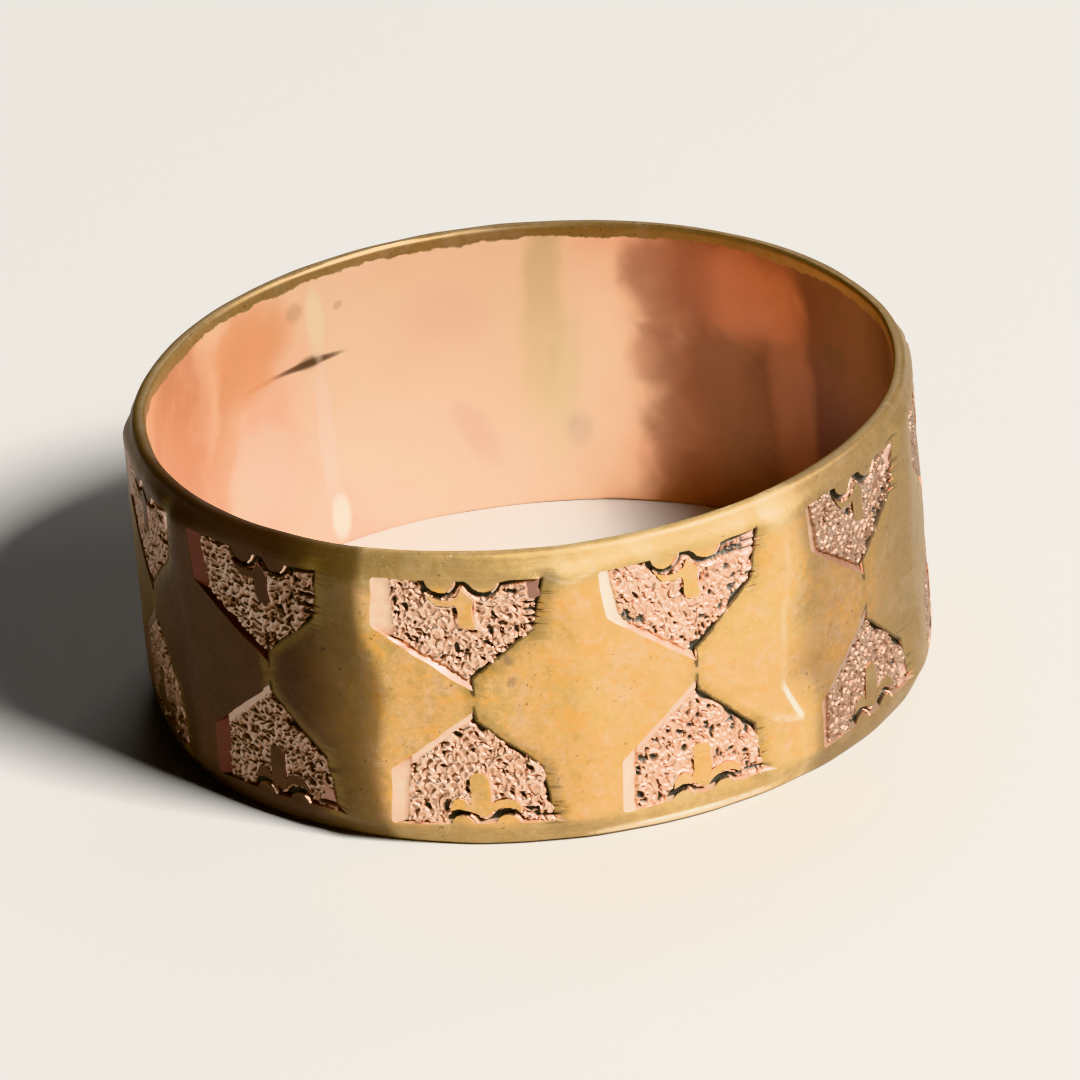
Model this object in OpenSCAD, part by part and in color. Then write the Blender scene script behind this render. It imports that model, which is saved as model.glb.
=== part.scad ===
// Faceted band ring with cut wing-shaped panels, lying on one rim.
// The axis of the finger hole is Z, the part rests on z = 0, and one facet looks along -Y.
// Lengths are in millimetres.

/* [Band] */
// Inner diameter of the ring, where the finger goes
bore_d = 17.3; // [14:0.1:23]
// Width of the band, from rim to rim
band_w = 7.35; // [6.8:0.05:9]
// Wall thickness at both rims
rim_wall = 0.35; // [0.32:0.01:0.5]
// Radius of the worn outer edge of each rim
rim_round_out = 0.14; // [0.08:0.01:0.16]
// Radius of the worn inner edge of each rim
rim_round_in = 0.12; // [0.06:0.01:0.14]
// Width of the plain strip beside each rim
strip_w = 0.27; // [0.2:0.01:0.3]
// Length of the slope from the strip up to the crown
shoulder_w = 0.32; // [0.26:0.01:0.34]

/* [Facets] */
// Number of facets and of motifs round the band
facet_n = 11; // [10:1:12]
// Wall thickness at the middle of a facet
facet_wall = 0.44; // [0.42:0.01:0.6]
// Radius of the slight bow of a facet
facet_bow_r = 18; // [15:0.5:30]
// Wall thickness left on the creases, which are worn soft
crown_wall = 0.605; // [0.58:0.005:0.62]

/* [Wings] */
// Depth of the cut panels
cut_depth = 0.15; // [0.08:0.01:0.18]
// Gap between the tips of a pair of wings
tip_gap = 0.48; // [0.3:0.02:0.7]
// Distance of the tips above the middle of the facet
tip_rise = 0.19; // [0:0.01:0.4]
// Distance of the outer edge of a wing from the middle of the band
wing_reach = 3.07; // [2.9:0.01:3.1]
// Distance of the inner corners of a wing from the middle of the band
wing_corner = 1.80; // [1.6:0.05:2.0]
// Distance of the top edge above the middle of the facet
wing_top = 2.03; // [1.8:0.01:2.1]
// Distance of the upper inner corner above the middle of the facet
wing_top_corner = 1.76; // [1.5:0.01:1.9]
// Distance of the bottom edge below the middle of the facet
wing_bottom = 2.05; // [1.8:0.01:2.1]
// Length of the bright slope along the bottom edge
bottom_slope_w = 0.45; // [0.3:0.01:0.55]
// Length of the bright slope along the lower inner edge
diagonal_slope_w = 0.22; // [0.12:0.01:0.3]

/* [Lobes and anchor] */
// Radius of the two lobes left standing on the outer edge
lobe_r = 0.33; // [0.25:0.01:0.38]
// Distance between the centres of the two lobes
lobe_pitch = 0.98; // [0.85:0.01:1.1]
// Width of the groove between the lobes and the anchor
groove_w = 0.16; // [0.12:0.01:0.2]
// Width of the arms of the anchor
arm_w = 0.15; // [0.1:0.01:0.2]
// Distance of the free end of the anchor's stem from the middle of the band
stem_end = 1.95; // [1.9:0.01:2.3]
// Height of the anchor's stem
stem_h = 0.42; // [0.3:0.01:0.5]

/* [Hidden] */
$fn = 180;
// Sides of the large circles of the facets, and of the small ones of the lobes and arms
bow_fn = 360;
lobe_fn = 48;

bore_r = bore_d / 2;
rim_r = bore_r + rim_wall;
facet_r = bore_r + facet_wall;
crown_r = bore_r + crown_wall;
facet_step = 360 / facet_n;
mid_z = band_w / 2;
// The first facet faces the front
front_turn = -90;
// How far cutters run past the surface
over = 1;

// Axis of the cylinder that a facet, or the floor of a panel, is a part of
bow_x = facet_r - facet_bow_r;

// Distance from the band's axis, on a facet, at y from its middle and sunk below its surface
function facet_x(y, sunk = 0) = bow_x + sqrt(pow(facet_bow_r - sunk, 2) - y * y);

// Middle height of the two lobes and of the stem: level with the tips
anchor_y = tip_rise - 0.02;
lobe_z = wing_reach - 0.02;
arm_in_r = lobe_r + groove_w;
arm_out_r = arm_in_r + arm_w;
// How far an arm runs past the middle of its lobe
arm_run = arm_in_r * 0.7;
// How far the free ends of the arms stay below the outer edge of the wing
arm_clear = 0.12;
// How far the stem runs up between its arms
stem_foot = 0.25;

// Corners of a wing, seen from outside, with y round the band and z from the band's middle
wing_outline = [
    [tip_rise, tip_gap / 2],
    [wing_top_corner, wing_corner],
    [wing_top, wing_reach],
    [-wing_bottom, wing_reach],
    [-wing_bottom, wing_corner]
];

// Direction of the lower inner edge, from the tip outwards
diag_y = -wing_bottom - tip_rise;
diag_z = wing_corner - tip_gap / 2;
diag_len = sqrt(diag_y * diag_y + diag_z * diag_z);

// Lays a flat outline on the +X side of the band, with its x round the band and its y along the axis
module lay_on_side(thickness) {
    rotate([90, 0, 90]) linear_extrude(height = thickness) children();
}

// Section of the turned blank: thin rounded rims, plain strips and a raised crown
module blank_section() {
    translate([bore_r + rim_round_in, 0])
        square([rim_wall - rim_round_in - rim_round_out, band_w]);
    translate([bore_r, rim_round_out])
        square([rim_wall, band_w - 2 * rim_round_out]);
    translate([bore_r, rim_round_in])
        square([rim_round_in, band_w - 2 * rim_round_in]);
    for (z = [0, band_w], s = [z == 0 ? 1 : -1]) {
        translate([rim_r - rim_round_out, z + s * rim_round_out]) circle(r = rim_round_out);
        translate([bore_r + rim_round_in, z + s * rim_round_in]) circle(r = rim_round_in);
    }
    polygon([
        [bore_r, strip_w],
        [rim_r, strip_w],
        [crown_r, strip_w + shoulder_w],
        [crown_r, band_w - strip_w - shoulder_w],
        [rim_r, band_w - strip_w],
        [bore_r, band_w - strip_w]
    ]);
}

// One facet's side of the outline: a large circle that touches the band at the facet's middle
module facet_side(i) {
    rotate(front_turn + i * facet_step)
        translate([bow_x, 0]) rotate(180) circle(r = facet_bow_r, $fn = bow_fn);
}

// The blank with its facets
module faceted_blank() {
    intersection() {
        rotate_extrude() blank_section();
        translate([0, 0, -over]) linear_extrude(height = band_w + 2 * over)
            intersection_for (i = [0 : facet_n - 1]) facet_side(i);
    }
}

// The wing's outline with its lobes and anchor left out, as far as the foot of the slopes
module panel_outline() {
    difference() {
        polygon(wing_outline);
        // the bright slope along the bottom
        translate([-wing_bottom - over, 0])
            square([bottom_slope_w + over, wing_reach + over]);
        // the bright slope along the lower inner edge
        translate([tip_rise, tip_gap / 2])
            rotate(atan2(diag_z, diag_y))
            translate([-over, -diagonal_slope_w])
            square([diag_len + 2 * over, 2 * diagonal_slope_w]);
        // the two lobes
        for (s = [-1, 1])
            translate([anchor_y + s * lobe_pitch / 2, lobe_z]) circle(r = lobe_r, $fn = lobe_fn);
        // the anchor's stem
        translate([anchor_y - stem_h / 2, stem_end])
            square([stem_h, lobe_z - arm_in_r + stem_foot - stem_end]);
        // the anchor's arms, each round its own lobe
        for (s = [-1, 1]) intersection() {
            translate([anchor_y + s * lobe_pitch / 2, lobe_z]) difference() {
                circle(r = arm_out_r, $fn = lobe_fn);
                circle(r = arm_in_r, $fn = lobe_fn);
            }
            translate([anchor_y + (s > 0 ? 0 : -lobe_pitch / 2 - arm_run), lobe_z - arm_out_r])
                square([lobe_pitch / 2 + arm_run, arm_out_r - arm_clear]);
        }
    }
}

// The flat-walled part of a panel, with its floor parallel to the facet
module panel_cut() {
    difference() {
        translate([facet_r - 1, 0, 0]) lay_on_side(1 + over) panel_outline();
        translate([bow_x, 0, -over])
            cylinder(r = facet_bow_r - cut_depth, h = mid_z + 2 * over, $fn = bow_fn);
    }
}

// The slope along the bottom edge, from the floor up to the facet
module bottom_slope_cut() {
    low_y = -wing_bottom + bottom_slope_w;
    linear_extrude(height = wing_reach)
        polygon([
            [facet_x(low_y, cut_depth), low_y],
            [facet_x(wing_bottom), -wing_bottom],
            [facet_r + over, -wing_bottom],
            [facet_r + over, low_y]
        ]);
}

// The slope along the lower inner edge, laid along the line from the tip to the bottom corner
module diagonal_slope_cut() {
    drop = facet_x(tip_rise) - facet_x(wing_bottom);
    tilt = atan(cut_depth / diagonal_slope_w);
    slope_len = cut_depth / sin(tilt);
    translate([facet_x(tip_rise), tip_rise, tip_gap / 2])
        rotate([atan2(diag_z, diag_y), 0, 0])
        rotate([0, 0, asin(drop / diag_len)])
        rotate([0, -tilt, 0])
        translate([0, -over, -slope_len])
        cube([over, diag_len + 2 * over, slope_len + over / 2]);
}

// Everything that is cut away for one wing
module wing_cut() {
    panel_cut();
    intersection() {
        translate([facet_r - 1, 0, 0]) lay_on_side(1 + over) polygon(wing_outline);
        union() {
            bottom_slope_cut();
            diagonal_slope_cut();
        }
    }
}

// The whole ring, one piece of metal
module band() {
    color([0.78, 0.62, 0.36])
        difference() {
            faceted_blank();
            for (i = [0 : facet_n - 1])
                translate([0, 0, mid_z]) rotate(front_turn + i * facet_step) {
                    wing_cut();
                    mirror([0, 0, 1]) wing_cut();
                }
        }
}

band();
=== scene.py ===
"""The looks of a worn, faceted band ring with pairs of cut wings.

The band is modelled flat, one facet at a time and in millimetres: x runs round the band, y across it from
the middle towards the upper rim, and z is the height over the rims' surface. The wings are cut into each flat
facet, the facets are joined, and the strip is then wrapped round the finger hole. The matted ground of each
wing is a piece of its own that lies in its pocket and is wrapped the same way.
"""

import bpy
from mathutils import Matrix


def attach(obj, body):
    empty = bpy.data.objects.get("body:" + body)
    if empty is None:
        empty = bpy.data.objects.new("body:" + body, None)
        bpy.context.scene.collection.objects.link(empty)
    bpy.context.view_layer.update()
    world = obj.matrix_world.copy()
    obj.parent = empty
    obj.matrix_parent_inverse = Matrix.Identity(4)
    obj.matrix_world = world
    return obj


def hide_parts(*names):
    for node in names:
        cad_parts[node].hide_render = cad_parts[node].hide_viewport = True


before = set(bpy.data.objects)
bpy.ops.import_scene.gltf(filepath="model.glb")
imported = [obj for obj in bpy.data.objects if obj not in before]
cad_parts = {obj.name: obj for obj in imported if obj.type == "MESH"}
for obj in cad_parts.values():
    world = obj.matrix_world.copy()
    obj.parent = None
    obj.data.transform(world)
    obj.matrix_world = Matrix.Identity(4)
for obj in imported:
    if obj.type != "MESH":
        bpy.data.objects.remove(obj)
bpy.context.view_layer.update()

import logging
import math
from collections.abc import Callable, Iterator
from contextlib import contextmanager
from dataclasses import dataclass, field, replace
from enum import Enum

import bpy
import numpy as np
from mathutils import Quaternion, Vector

log = logging.getLogger("band_ring")
Point = tuple[float, float]
Colour = tuple[float, float, float]


# Sizes


@dataclass(frozen=True)
class BandSizes:
    """Sizes of the band, in millimetres, as the CAD model has them."""

    bore_r: float = 8.65
    rim_r: float = 9.0
    width: float = 7.35
    round_out: float = 0.14
    round_in: float = 0.12
    strip_w: float = 0.27
    shoulder_w: float = 0.32
    facets: int = 11
    facet_r: float = 9.09
    bow_r: float = 18.0
    crown_r: float = 9.255
    cut_depth: float = 0.15
    unroll_r: float = 9.1

    @property
    def wall(self) -> float:
        """Thickness of the rims."""
        return self.rim_r - self.bore_r

    @property
    def around(self) -> float:
        """Length of the unrolled band."""
        return 2 * math.pi * self.unroll_r

    @property
    def facet_l(self) -> float:
        """Length of one facet of the unrolled band."""
        return self.around / self.facets

    @property
    def middle(self) -> float:
        """Height of the band's middle over the floor."""
        return self.width / 2


BAND = BandSizes()
MM = 0.001


def smoothstep(low: float, high: float, value: np.ndarray) -> np.ndarray:
    """Returns 0 below low, 1 above high, and a soft step between them."""
    t = np.clip((value - low) / (high - low), 0.0, 1.0)
    return t * t * (3 - 2 * t)


def soft_min(a: np.ndarray, b: np.ndarray, blend: float) -> np.ndarray:
    """Returns the smaller of two heights, rounded over blend where they meet."""
    return np.minimum(a, b) - np.maximum(blend - np.abs(a - b), 0.0) ** 2 / (4 * blend)


def soft_max(a: np.ndarray, b: np.ndarray, blend: float) -> np.ndarray:
    """Returns the larger of two heights, rounded over blend where they meet."""
    return -soft_min(-a, -b, blend)


class Swell:
    """Smooth seeded unevenness over the unrolled band, which meets itself after one turn."""

    ROWS = 512

    def __init__(self, seed: int, size: float) -> None:
        """Draws the heights of the swells.

        Args:
            seed: picks the pattern.
            size: distance from one swell to the next, in millimetres.
        """
        self.columns = max(4, round(BAND.around / size))
        self.step = BAND.around / self.columns
        self.size = size
        self.heights = np.random.default_rng(seed).uniform(-1, 1, (self.ROWS, self.columns))

    def at(self, x: np.ndarray, y: np.ndarray) -> np.ndarray:
        """Reads the swells at points of the unrolled band.

        Args:
            x: places round the band.
            y: places across it.

        Returns:
            Heights from -1 to 1.
        """
        across, up = x / self.step, y / self.size + self.ROWS / 2
        left, low = np.floor(across).astype(int), np.floor(up).astype(int)
        fx, fy = smoothstep(0, 1, across - left), smoothstep(0, 1, up - low)
        rows = (low % self.ROWS, (low + 1) % self.ROWS)
        cols = (left % self.columns, (left + 1) % self.columns)
        h = self.heights
        bottom = h[rows[0], cols[0]] * (1 - fx) + h[rows[0], cols[1]] * fx
        top = h[rows[1], cols[0]] * (1 - fx) + h[rows[1], cols[1]] * fx
        return bottom * (1 - fy) + top * fy


def distance_to_path(x: np.ndarray, y: np.ndarray, path: list[Point]) -> np.ndarray:
    """Measures how far points lie from a path of straight lines.

    Args:
        x: places of the points to the right.
        y: their places upwards.
        path: the path's corners.

    Returns:
        The distances.
    """
    best = np.full(x.shape, np.inf)
    for (ax, ay), (bx, by) in zip(path, path[1:]):
        lx, ly = bx - ax, by - ay
        t = np.clip(((x - ax) * lx + (y - ay) * ly) / (lx * lx + ly * ly), 0, 1)
        best = np.minimum(best, np.hypot(x - ax - t * lx, y - ay - t * ly))
    return best


def inside_path(x: np.ndarray, y: np.ndarray, path: list[Point]) -> np.ndarray:
    """Tells which points lie inside a closed outline.

    Args:
        x: places of the points to the right.
        y: their places upwards.
        path: the outline's corners.

    Returns:
        True for each point inside.
    """
    inside = np.zeros(x.shape, bool)
    for (ax, ay), (bx, by) in zip(path, path[1:] + path[:1]):
        crosses = (ay > y) != (by > y)
        with np.errstate(divide="ignore", invalid="ignore"):
            at = ax + (y - ay) * (bx - ax) / (by - ay)
        inside ^= crosses & (x < at)
    return inside


# Form of the worn surface


@dataclass
class WornSurface:
    """The facets, soft creases and shoulders of the band, and the way from the flat strip to the round."""

    # How far the creases, the shoulders and the plain strips are rounded into what they meet
    crease_blend: float = 0.06
    shoulder_blend: float = 0.13
    strip_blend: float = 0.17
    # Height of the plain strips over the rims' surface
    strip_h: float = -0.045
    # Height of the facets' broad unevenness, and the share that the fine one adds
    hammer: float = 0.011
    fine_share: float = 0.35
    # Height and width of the burr, and depth of the dent below it
    burr_h: float = 0.040
    burr_w: float = 0.11
    dent_h: float = 0.055
    # Unevenness of the bore, the flats that use wore into it, and the wobble of the rims
    bore_swell: float = 0.032
    bore_flat: float = 0.03
    rim_wobble: float = 0.03
    # How far from a crease the surface follows its straying
    crease_reach: float = 0.8
    # How far a crease strays sideways, from the lower rim up, for the creases that are seen best
    creases: dict[int, list[Point]] = field(
        default_factory=lambda: {
            0: [(-3.6, 0.05), (-1.2, 0.0), (0.6, 0.1), (2.4, 0.0), (3.6, -0.1)],
            1: [
                (-3.6, 0.22), (-1.92, 0.15), (-0.92, -0.37), (-0.07, -0.21), (0.88, -0.13), (1.83, 0.17),
                (2.73, 0.07), (3.6, 0.05),
            ],
            -1: [(-3.6, -0.1), (-2.0, -0.05), (-0.4, 0.24), (0.8, 0.28), (2.4, 0.02), (3.6, 0.0)],
        }
    )
    # The burr that a blow raised on the second facet and the dent that it left, from the middle of that facet
    burr: list[Point] = field(
        default_factory=lambda: [(0.90, -1.00), (1.40, -1.34), (1.99, -1.70), (2.35, -1.86), (2.74, -1.92)]
    )
    dent: Point = (2.26, -2.48)
    dent_size: Point = (0.46, 0.42)
    # The edge of the polished place between the first two upper wings
    lip: list[Point] = field(
        default_factory=lambda: [(2.05, 3.14), (2.34, 3.00), (2.65, 2.95), (2.95, 3.02), (3.2, 3.16)]
    )
    # How bright the painted highlight is along each length of the crease after the second facet, from the
    # lower rim up
    glints: list[Point] = field(
        default_factory=lambda: [
            (-3.2, 0.3), (-2.1, 0.1), (-1.88, 1.0), (-1.1, 0.95), (-0.75, 0.45), (-0.2, 0.2), (0.2, 0.62),
            (0.9, 0.55), (1.2, 0.2), (1.6, 0.2), (1.9, 0.45), (2.6, 0.4), (2.9, 0.05),
        ]
    )
    # How bright the painted highlight along the lower rim is below the second facet, by place round it, and
    # the line's height
    rim_glints: list[Point] = field(
        default_factory=lambda: [
            (-2.2, 0.0), (-1.6, 0.6), (-1.1, 1.0), (0.2, 1.0), (0.8, 0.75), (1.8, 0.6), (2.5, 0.0),
        ]
    )
    rim_glint_y: float = -3.47
    # Greatest brightness of the painted highlight on the burr
    burr_glint: float = 0.62
    # Where the lit clean metal ends and the painted shade and grime begin, to the left of the first facet's
    # wings: place across the band and round it
    lit_clean_edge: list[Point] = field(
        default_factory=lambda: [
            (-3.4, -2.02), (-2.57, -2.0), (-1.57, -1.99), (-0.77, -1.88), (0.13, -1.76), (0.98, -1.91),
            (1.88, -2.12), (3.4, -2.14),
        ]
    )
    # The farthest that a distance is kept for the materials, and where a bright line has faded out
    far: float = 0.8
    faded: tuple[float, float] = (0.9, 0.6)

    def __post_init__(self) -> None:
        """Draws the seeded swells."""
        self.broad, self.fine = Swell(11, 1.7), Swell(12, 0.62)
        self.bore_broad, self.bore_fine = Swell(13, 3.1), Swell(14, 1.1)
        self.rims = Swell(15, 2.6)
        self.strays = np.random.default_rng(16).uniform(-1, 1, (BAND.facets, 4))

    @staticmethod
    def along(where: np.ndarray, path: list[Point]) -> np.ndarray:
        """Returns the second number of a path's points, read off at places along the first."""
        return np.interp(where, [p[0] for p in path], [p[1] for p in path])

    def crease_stray(self, x: np.ndarray, y: np.ndarray) -> np.ndarray:
        """Works out how far the creases have strayed sideways.

        Args:
            x: places round the band.
            y: places across it.

        Returns:
            The straying of the crease nearest to each point, which fades out away from it.
        """
        stray = np.zeros(x.shape)
        half = BAND.around / 2
        for k in range(BAND.facets):
            number = k if k <= BAND.facets // 2 else k - BAND.facets
            away = (x - (k + 0.5) * BAND.facet_l + half) % BAND.around - half
            if number in self.creases:
                shift = self.along(y, self.creases[number])
            else:
                a, b, c, d = self.strays[k]
                shift = 0.14 * a * np.sin(y * 0.9 + 3 * b) + 0.09 * c * np.sin(y * 2.1 + 3 * d)
            stray += shift * np.exp(-((away / self.crease_reach) ** 2))
        return stray

    def facet_fold(self, x: np.ndarray, y: np.ndarray) -> np.ndarray:
        """Returns the angle of points from the middle of their facet, with the creases where they strayed."""
        along = (x - self.crease_stray(x, y)) / BAND.facet_l
        return np.abs(along - np.round(along)) * 2 * math.pi / BAND.facets

    @staticmethod
    def facet_lift(angle: np.ndarray) -> np.ndarray:
        """Returns the height of a bowed facet over the rims' surface, at angles from its middle."""
        bow_x = BAND.facet_r - BAND.bow_r
        return bow_x * np.cos(angle) + np.sqrt(BAND.bow_r**2 - (bow_x * np.sin(angle)) ** 2) - BAND.rim_r

    def lift(self, x: np.ndarray, y: np.ndarray) -> np.ndarray:
        """Works out the shape of the worn outside.

        Args:
            x: places round the band.
            y: places across it.

        Returns:
            The height of the crown over the rims' surface.
        """
        step = 2 * math.pi / BAND.facets
        fold = self.facet_fold(x, y)
        crown = soft_min(self.facet_lift(fold), self.facet_lift(step - fold), self.crease_blend)
        uneven = self.broad.at(x, y) + self.fine_share * self.fine.at(x, y)
        crown += self.hammer * (uneven - (1 + self.fine_share))
        own_x = self.by_second_facet(x)
        raised = distance_to_path(own_x, y, self.burr)
        crown += self.burr_h * np.exp(-((raised / self.burr_w) ** 2)) * smoothstep(0.7, 1.5, own_x)
        dent_x, dent_y = (own_x - self.dent[0]) / self.dent_size[0], (y - self.dent[1]) / self.dent_size[1]
        crown -= self.dent_h * np.exp(-(dent_x**2 + dent_y**2))
        edge = BAND.width / 2 - np.abs(y)
        slope = (BAND.crown_r - BAND.rim_r) / BAND.shoulder_w
        shoulder = (edge - BAND.strip_w + 0.05 * self.rims.at(x, y)) * slope
        strip = self.strip_h + 0.02 * self.fine.at(x * 0.7, y)
        return soft_min(crown, soft_max(shoulder, strip, self.strip_blend), self.shoulder_blend)

    @staticmethod
    def by_second_facet(x: np.ndarray) -> np.ndarray:
        """Returns places round the band from the middle of the second facet, which took a blow."""
        return (x - BAND.facet_l + BAND.around / 2) % BAND.around - BAND.around / 2

    def crease_wear_and_highlight(self, x: np.ndarray, y: np.ndarray) -> np.ndarray:
        """Works out how far the creases and the rims' edges are polished by wear, with a painted highlight
        along the lower rim below the second facet.

        Args:
            x: places round the band.
            y: places across it.

        Returns:
            From 0, not at all, to 1.
        """
        to_crease = (math.pi / BAND.facets - self.facet_fold(x, y)) * BAND.unroll_r
        edge = BAND.width / 2 - np.abs(y)
        own_x = self.by_second_facet(x)
        line = np.exp(-((to_crease / 0.20) ** 2)) * (0.06 + 0.22 * self.rims.at(x * 1.7, y * 1.7))
        lip = 0.55 * np.exp(-((distance_to_path(x, y, self.lip) / 0.07) ** 2))
        rim = np.exp(-((edge / 0.07) ** 2)) * (0.5 + 0.5 * self.broad.at(x * 2, y * 0))
        # A painted highlight along the lower rim below the second facet
        low_rim = np.exp(-(((y + 3.55) / 0.10) ** 2)) * smoothstep(2.9, 1.5, np.abs(own_x + 0.3))
        return np.maximum.reduce([line * smoothstep(0.25, 0.6, edge), lip, rim, low_rim])

    def ridge_lines(self, x: np.ndarray, y: np.ndarray) -> dict[str, np.ndarray]:
        """Tells where highlights are painted along the crease after the second facet, the burr and the lower
        rim.

        Args:
            x: places round the band.
            y: places across it.

        Returns:
            How far points lie to one side of each line, and how bright the line is there.
        """
        past = self.by_second_facet(x - self.crease_stray(x, y)) - BAND.facet_l / 2
        own_x = self.by_second_facet(x)
        over = (y - self.along(own_x, self.burr)) * 0.87
        ends = smoothstep(1.3, 2.2, own_x) * smoothstep(2.9, 2.7, own_x)
        low = y - self.rim_glint_y
        lines = {
            "crease": (past, self.along(y, self.glints)),
            "burr": (over, ends * self.burr_glint),
            "rim": (low, self.along(own_x, self.rim_glints)),
        }
        stored: dict[str, np.ndarray] = {}
        for name, (side, glint) in lines.items():
            stored[name + "_side"] = np.clip(side, -self.far, self.far)
            stored[name + "_glint"] = glint * smoothstep(*self.faded, np.abs(side))
        return stored

    def tarnish(self, x: np.ndarray, y: np.ndarray) -> np.ndarray:
        """Works out how dull and greenish the skin is: tarnish beside the rims and here and there, and
        painted shade on the facets beyond the two lit clean ones.

        Args:
            x: places round the band.
            y: places across it.

        Returns:
            From 0, not at all, to 1.
        """
        edge = BAND.width / 2 - np.abs(y)
        beside_rim = smoothstep(1.05, 0.50, edge + 0.16 * self.broad.at(x, y) + 0.08 * self.fine.at(x, y))
        past, beyond = self.past_lit_clean(x, y)
        right = 0.50 * smoothstep(4.9, 6.2, past) + 0.20 * smoothstep(6.2, 8.8, past)
        right += 0.3 * smoothstep(9, 13, past)
        # Beyond the lit clean facets this dulling is painted shade as well as tarnish
        away = np.where(past < 0, smoothstep(-0.05, 0.55, beyond), right)
        clouds = self.bore_broad.at(x + 9, y)
        away *= 0.80 + 0.35 * clouds
        return np.clip(np.maximum(beside_rim, away) + 0.18 * clouds, 0, 1)

    def past_lit_clean(self, x: np.ndarray, y: np.ndarray) -> tuple[np.ndarray, np.ndarray]:
        """Tells how far round the band points are from the two lit clean facets, which the painted shade
        leaves out.

        Args:
            x: places round the band.
            y: places across it.

        Returns:
            The distance from the crease between those facets, below 0 to the left, and how far points lie to
            the left of the edge of the lit clean metal.
        """
        past = self.by_second_facet(x - self.crease_stray(x, y) + BAND.facet_l / 2)
        home = (x + BAND.around / 2) % BAND.around - BAND.around / 2
        stray = 0.05 * self.fine.at(x, y) + 0.05 * self.broad.at(x, y)
        return past + 3 * stray, self.along(y, self.lit_clean_edge) - home + stray

    def grime(self, x: np.ndarray, y: np.ndarray) -> np.ndarray:
        """Works out how dark the facets beyond the two lit clean ones are made: painted shade, partly grime.

        Args:
            x: places round the band.
            y: places across it.

        Returns:
            From 0, clean, to 1.
        """
        past, beyond = self.past_lit_clean(x, y)
        left = 0.68 * smoothstep(-0.10, 0.30, beyond) + 0.32 * smoothstep(0.2, 2.6, beyond)
        left *= 1 - 0.45 * smoothstep(5.5, 13, beyond)
        return np.where(past < 0, left, 0.55 * smoothstep(5.0, 6.2, past))

    def wrap(self, flat: np.ndarray, sink: np.ndarray | float = 0.0) -> np.ndarray:
        """Bends points of the flat strip round the finger hole.

        Args:
            flat: x, y, z of each point on the flat strip, in millimetres.
            sink: how far the skin is worn down at each point.

        Returns:
            The points on the band, in metres.
        """
        x, y, z = flat.T
        on_skin = smoothstep(-0.33, -0.2, z)
        r = BAND.rim_r + z + self.lift(x, y) * on_skin - sink * np.clip(1 + z / 0.12, 0, 1)
        fold = self.facet_fold(x, y) * BAND.facets / math.pi
        bore = self.bore_swell * (self.bore_broad.at(x, y) + 0.3 * self.bore_fine.at(x, y))
        r += (bore + self.bore_flat * (fold**2 - 0.5)) * (1 - on_skin)
        edge = BAND.width / 2 - np.abs(y)
        wobble = self.rim_wobble * (0.5 + 0.5 * self.rims.at(x, y * 0)) * smoothstep(0.8, 0.0, edge)
        height = BAND.middle + y - np.sign(y) * wobble
        angle = x / BAND.unroll_r - math.pi / 2
        return np.stack([r * np.cos(angle), r * np.sin(angle), height], axis=1) * MM


SURFACE = WornSurface()


# Wings


class Side(Enum):
    """Which rim a wing opens towards."""

    UPPER = 1
    LOWER = -1


class Patch(Enum):
    """What the last cuts at the top corner of a wing left there."""

    NONE = 0
    PALE = 1
    DARK = 2


# The anchor between the two lobes, as the cutter left it standing: of the upper wings and of the lower ones
UPPER_ANCHOR: tuple[Point, ...] = (
    (-0.70, 2.78), (-0.60, 2.68), (-0.36, 2.59), (-0.12, 2.59), (0.06, 2.68), (0.15, 2.88),
    (0.25, 2.76), (0.40, 2.58), (0.37, 2.40), (0.36, 2.15), (0.41, 1.94), (0.31, 1.86), (0.09, 1.89),
    (0.00, 2.04), (0.02, 2.30), (-0.01, 2.46), (-0.22, 2.43), (-0.46, 2.46), (-0.58, 2.58),
)
LOWER_ANCHOR: tuple[Point, ...] = (
    (-0.58, 2.76), (-0.55, 2.60), (-0.45, 2.47), (-0.33, 2.42), (-0.20, 2.47), (-0.10, 2.60),
    (-0.05, 2.44), (-0.06, 1.95), (-0.02, 1.82), (0.14, 1.77), (0.30, 1.82), (0.36, 1.95), (0.36, 2.57),
    (0.50, 2.47), (0.74, 2.43), (0.94, 2.48), (1.06, 2.63), (1.05, 2.76), (0.86, 2.66), (0.62, 2.64),
    (0.40, 2.74), (0.24, 2.88), (0.06, 2.80), (-0.12, 2.73), (-0.36, 2.69),
)
# Place of the right lobe that the end of the wavy edge was drawn for, and parts of a lobe's arc
UPPER_LOBE_X = 0.66
ARC_STEPS = 6
# Bright ridges that the graver raised beside the anchor
UPPER_RIDGES: tuple[tuple[Point, ...], ...] = (
    ((0.27, 2.80), (0.44, 2.62), (0.60, 2.54), (0.78, 2.53), (1.02, 2.66)),
    ((0.43, 2.56), (0.41, 2.20), (0.46, 1.92)),
    ((-0.70, 2.70), (-0.60, 2.54), (-0.46, 2.41), (-0.22, 2.38), (-0.05, 2.41)),
)
LOWER_RIDGES: tuple[tuple[Point, ...], ...] = (
    ((0.41, 1.92), (0.41, 2.50)),
    ((-0.60, 2.66), (-0.47, 2.42), (-0.33, 2.37), (-0.18, 2.43)),
    ((0.44, 2.46), (0.74, 2.38), (0.98, 2.45), (1.10, 2.60)),
)


@dataclass(frozen=True)
class Gash:
    """A deep black hole in the ground: its middle, half its length and width, and its turn in degrees."""

    x: float
    y: float
    long: float
    short: float
    turn: float = 0.0


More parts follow.
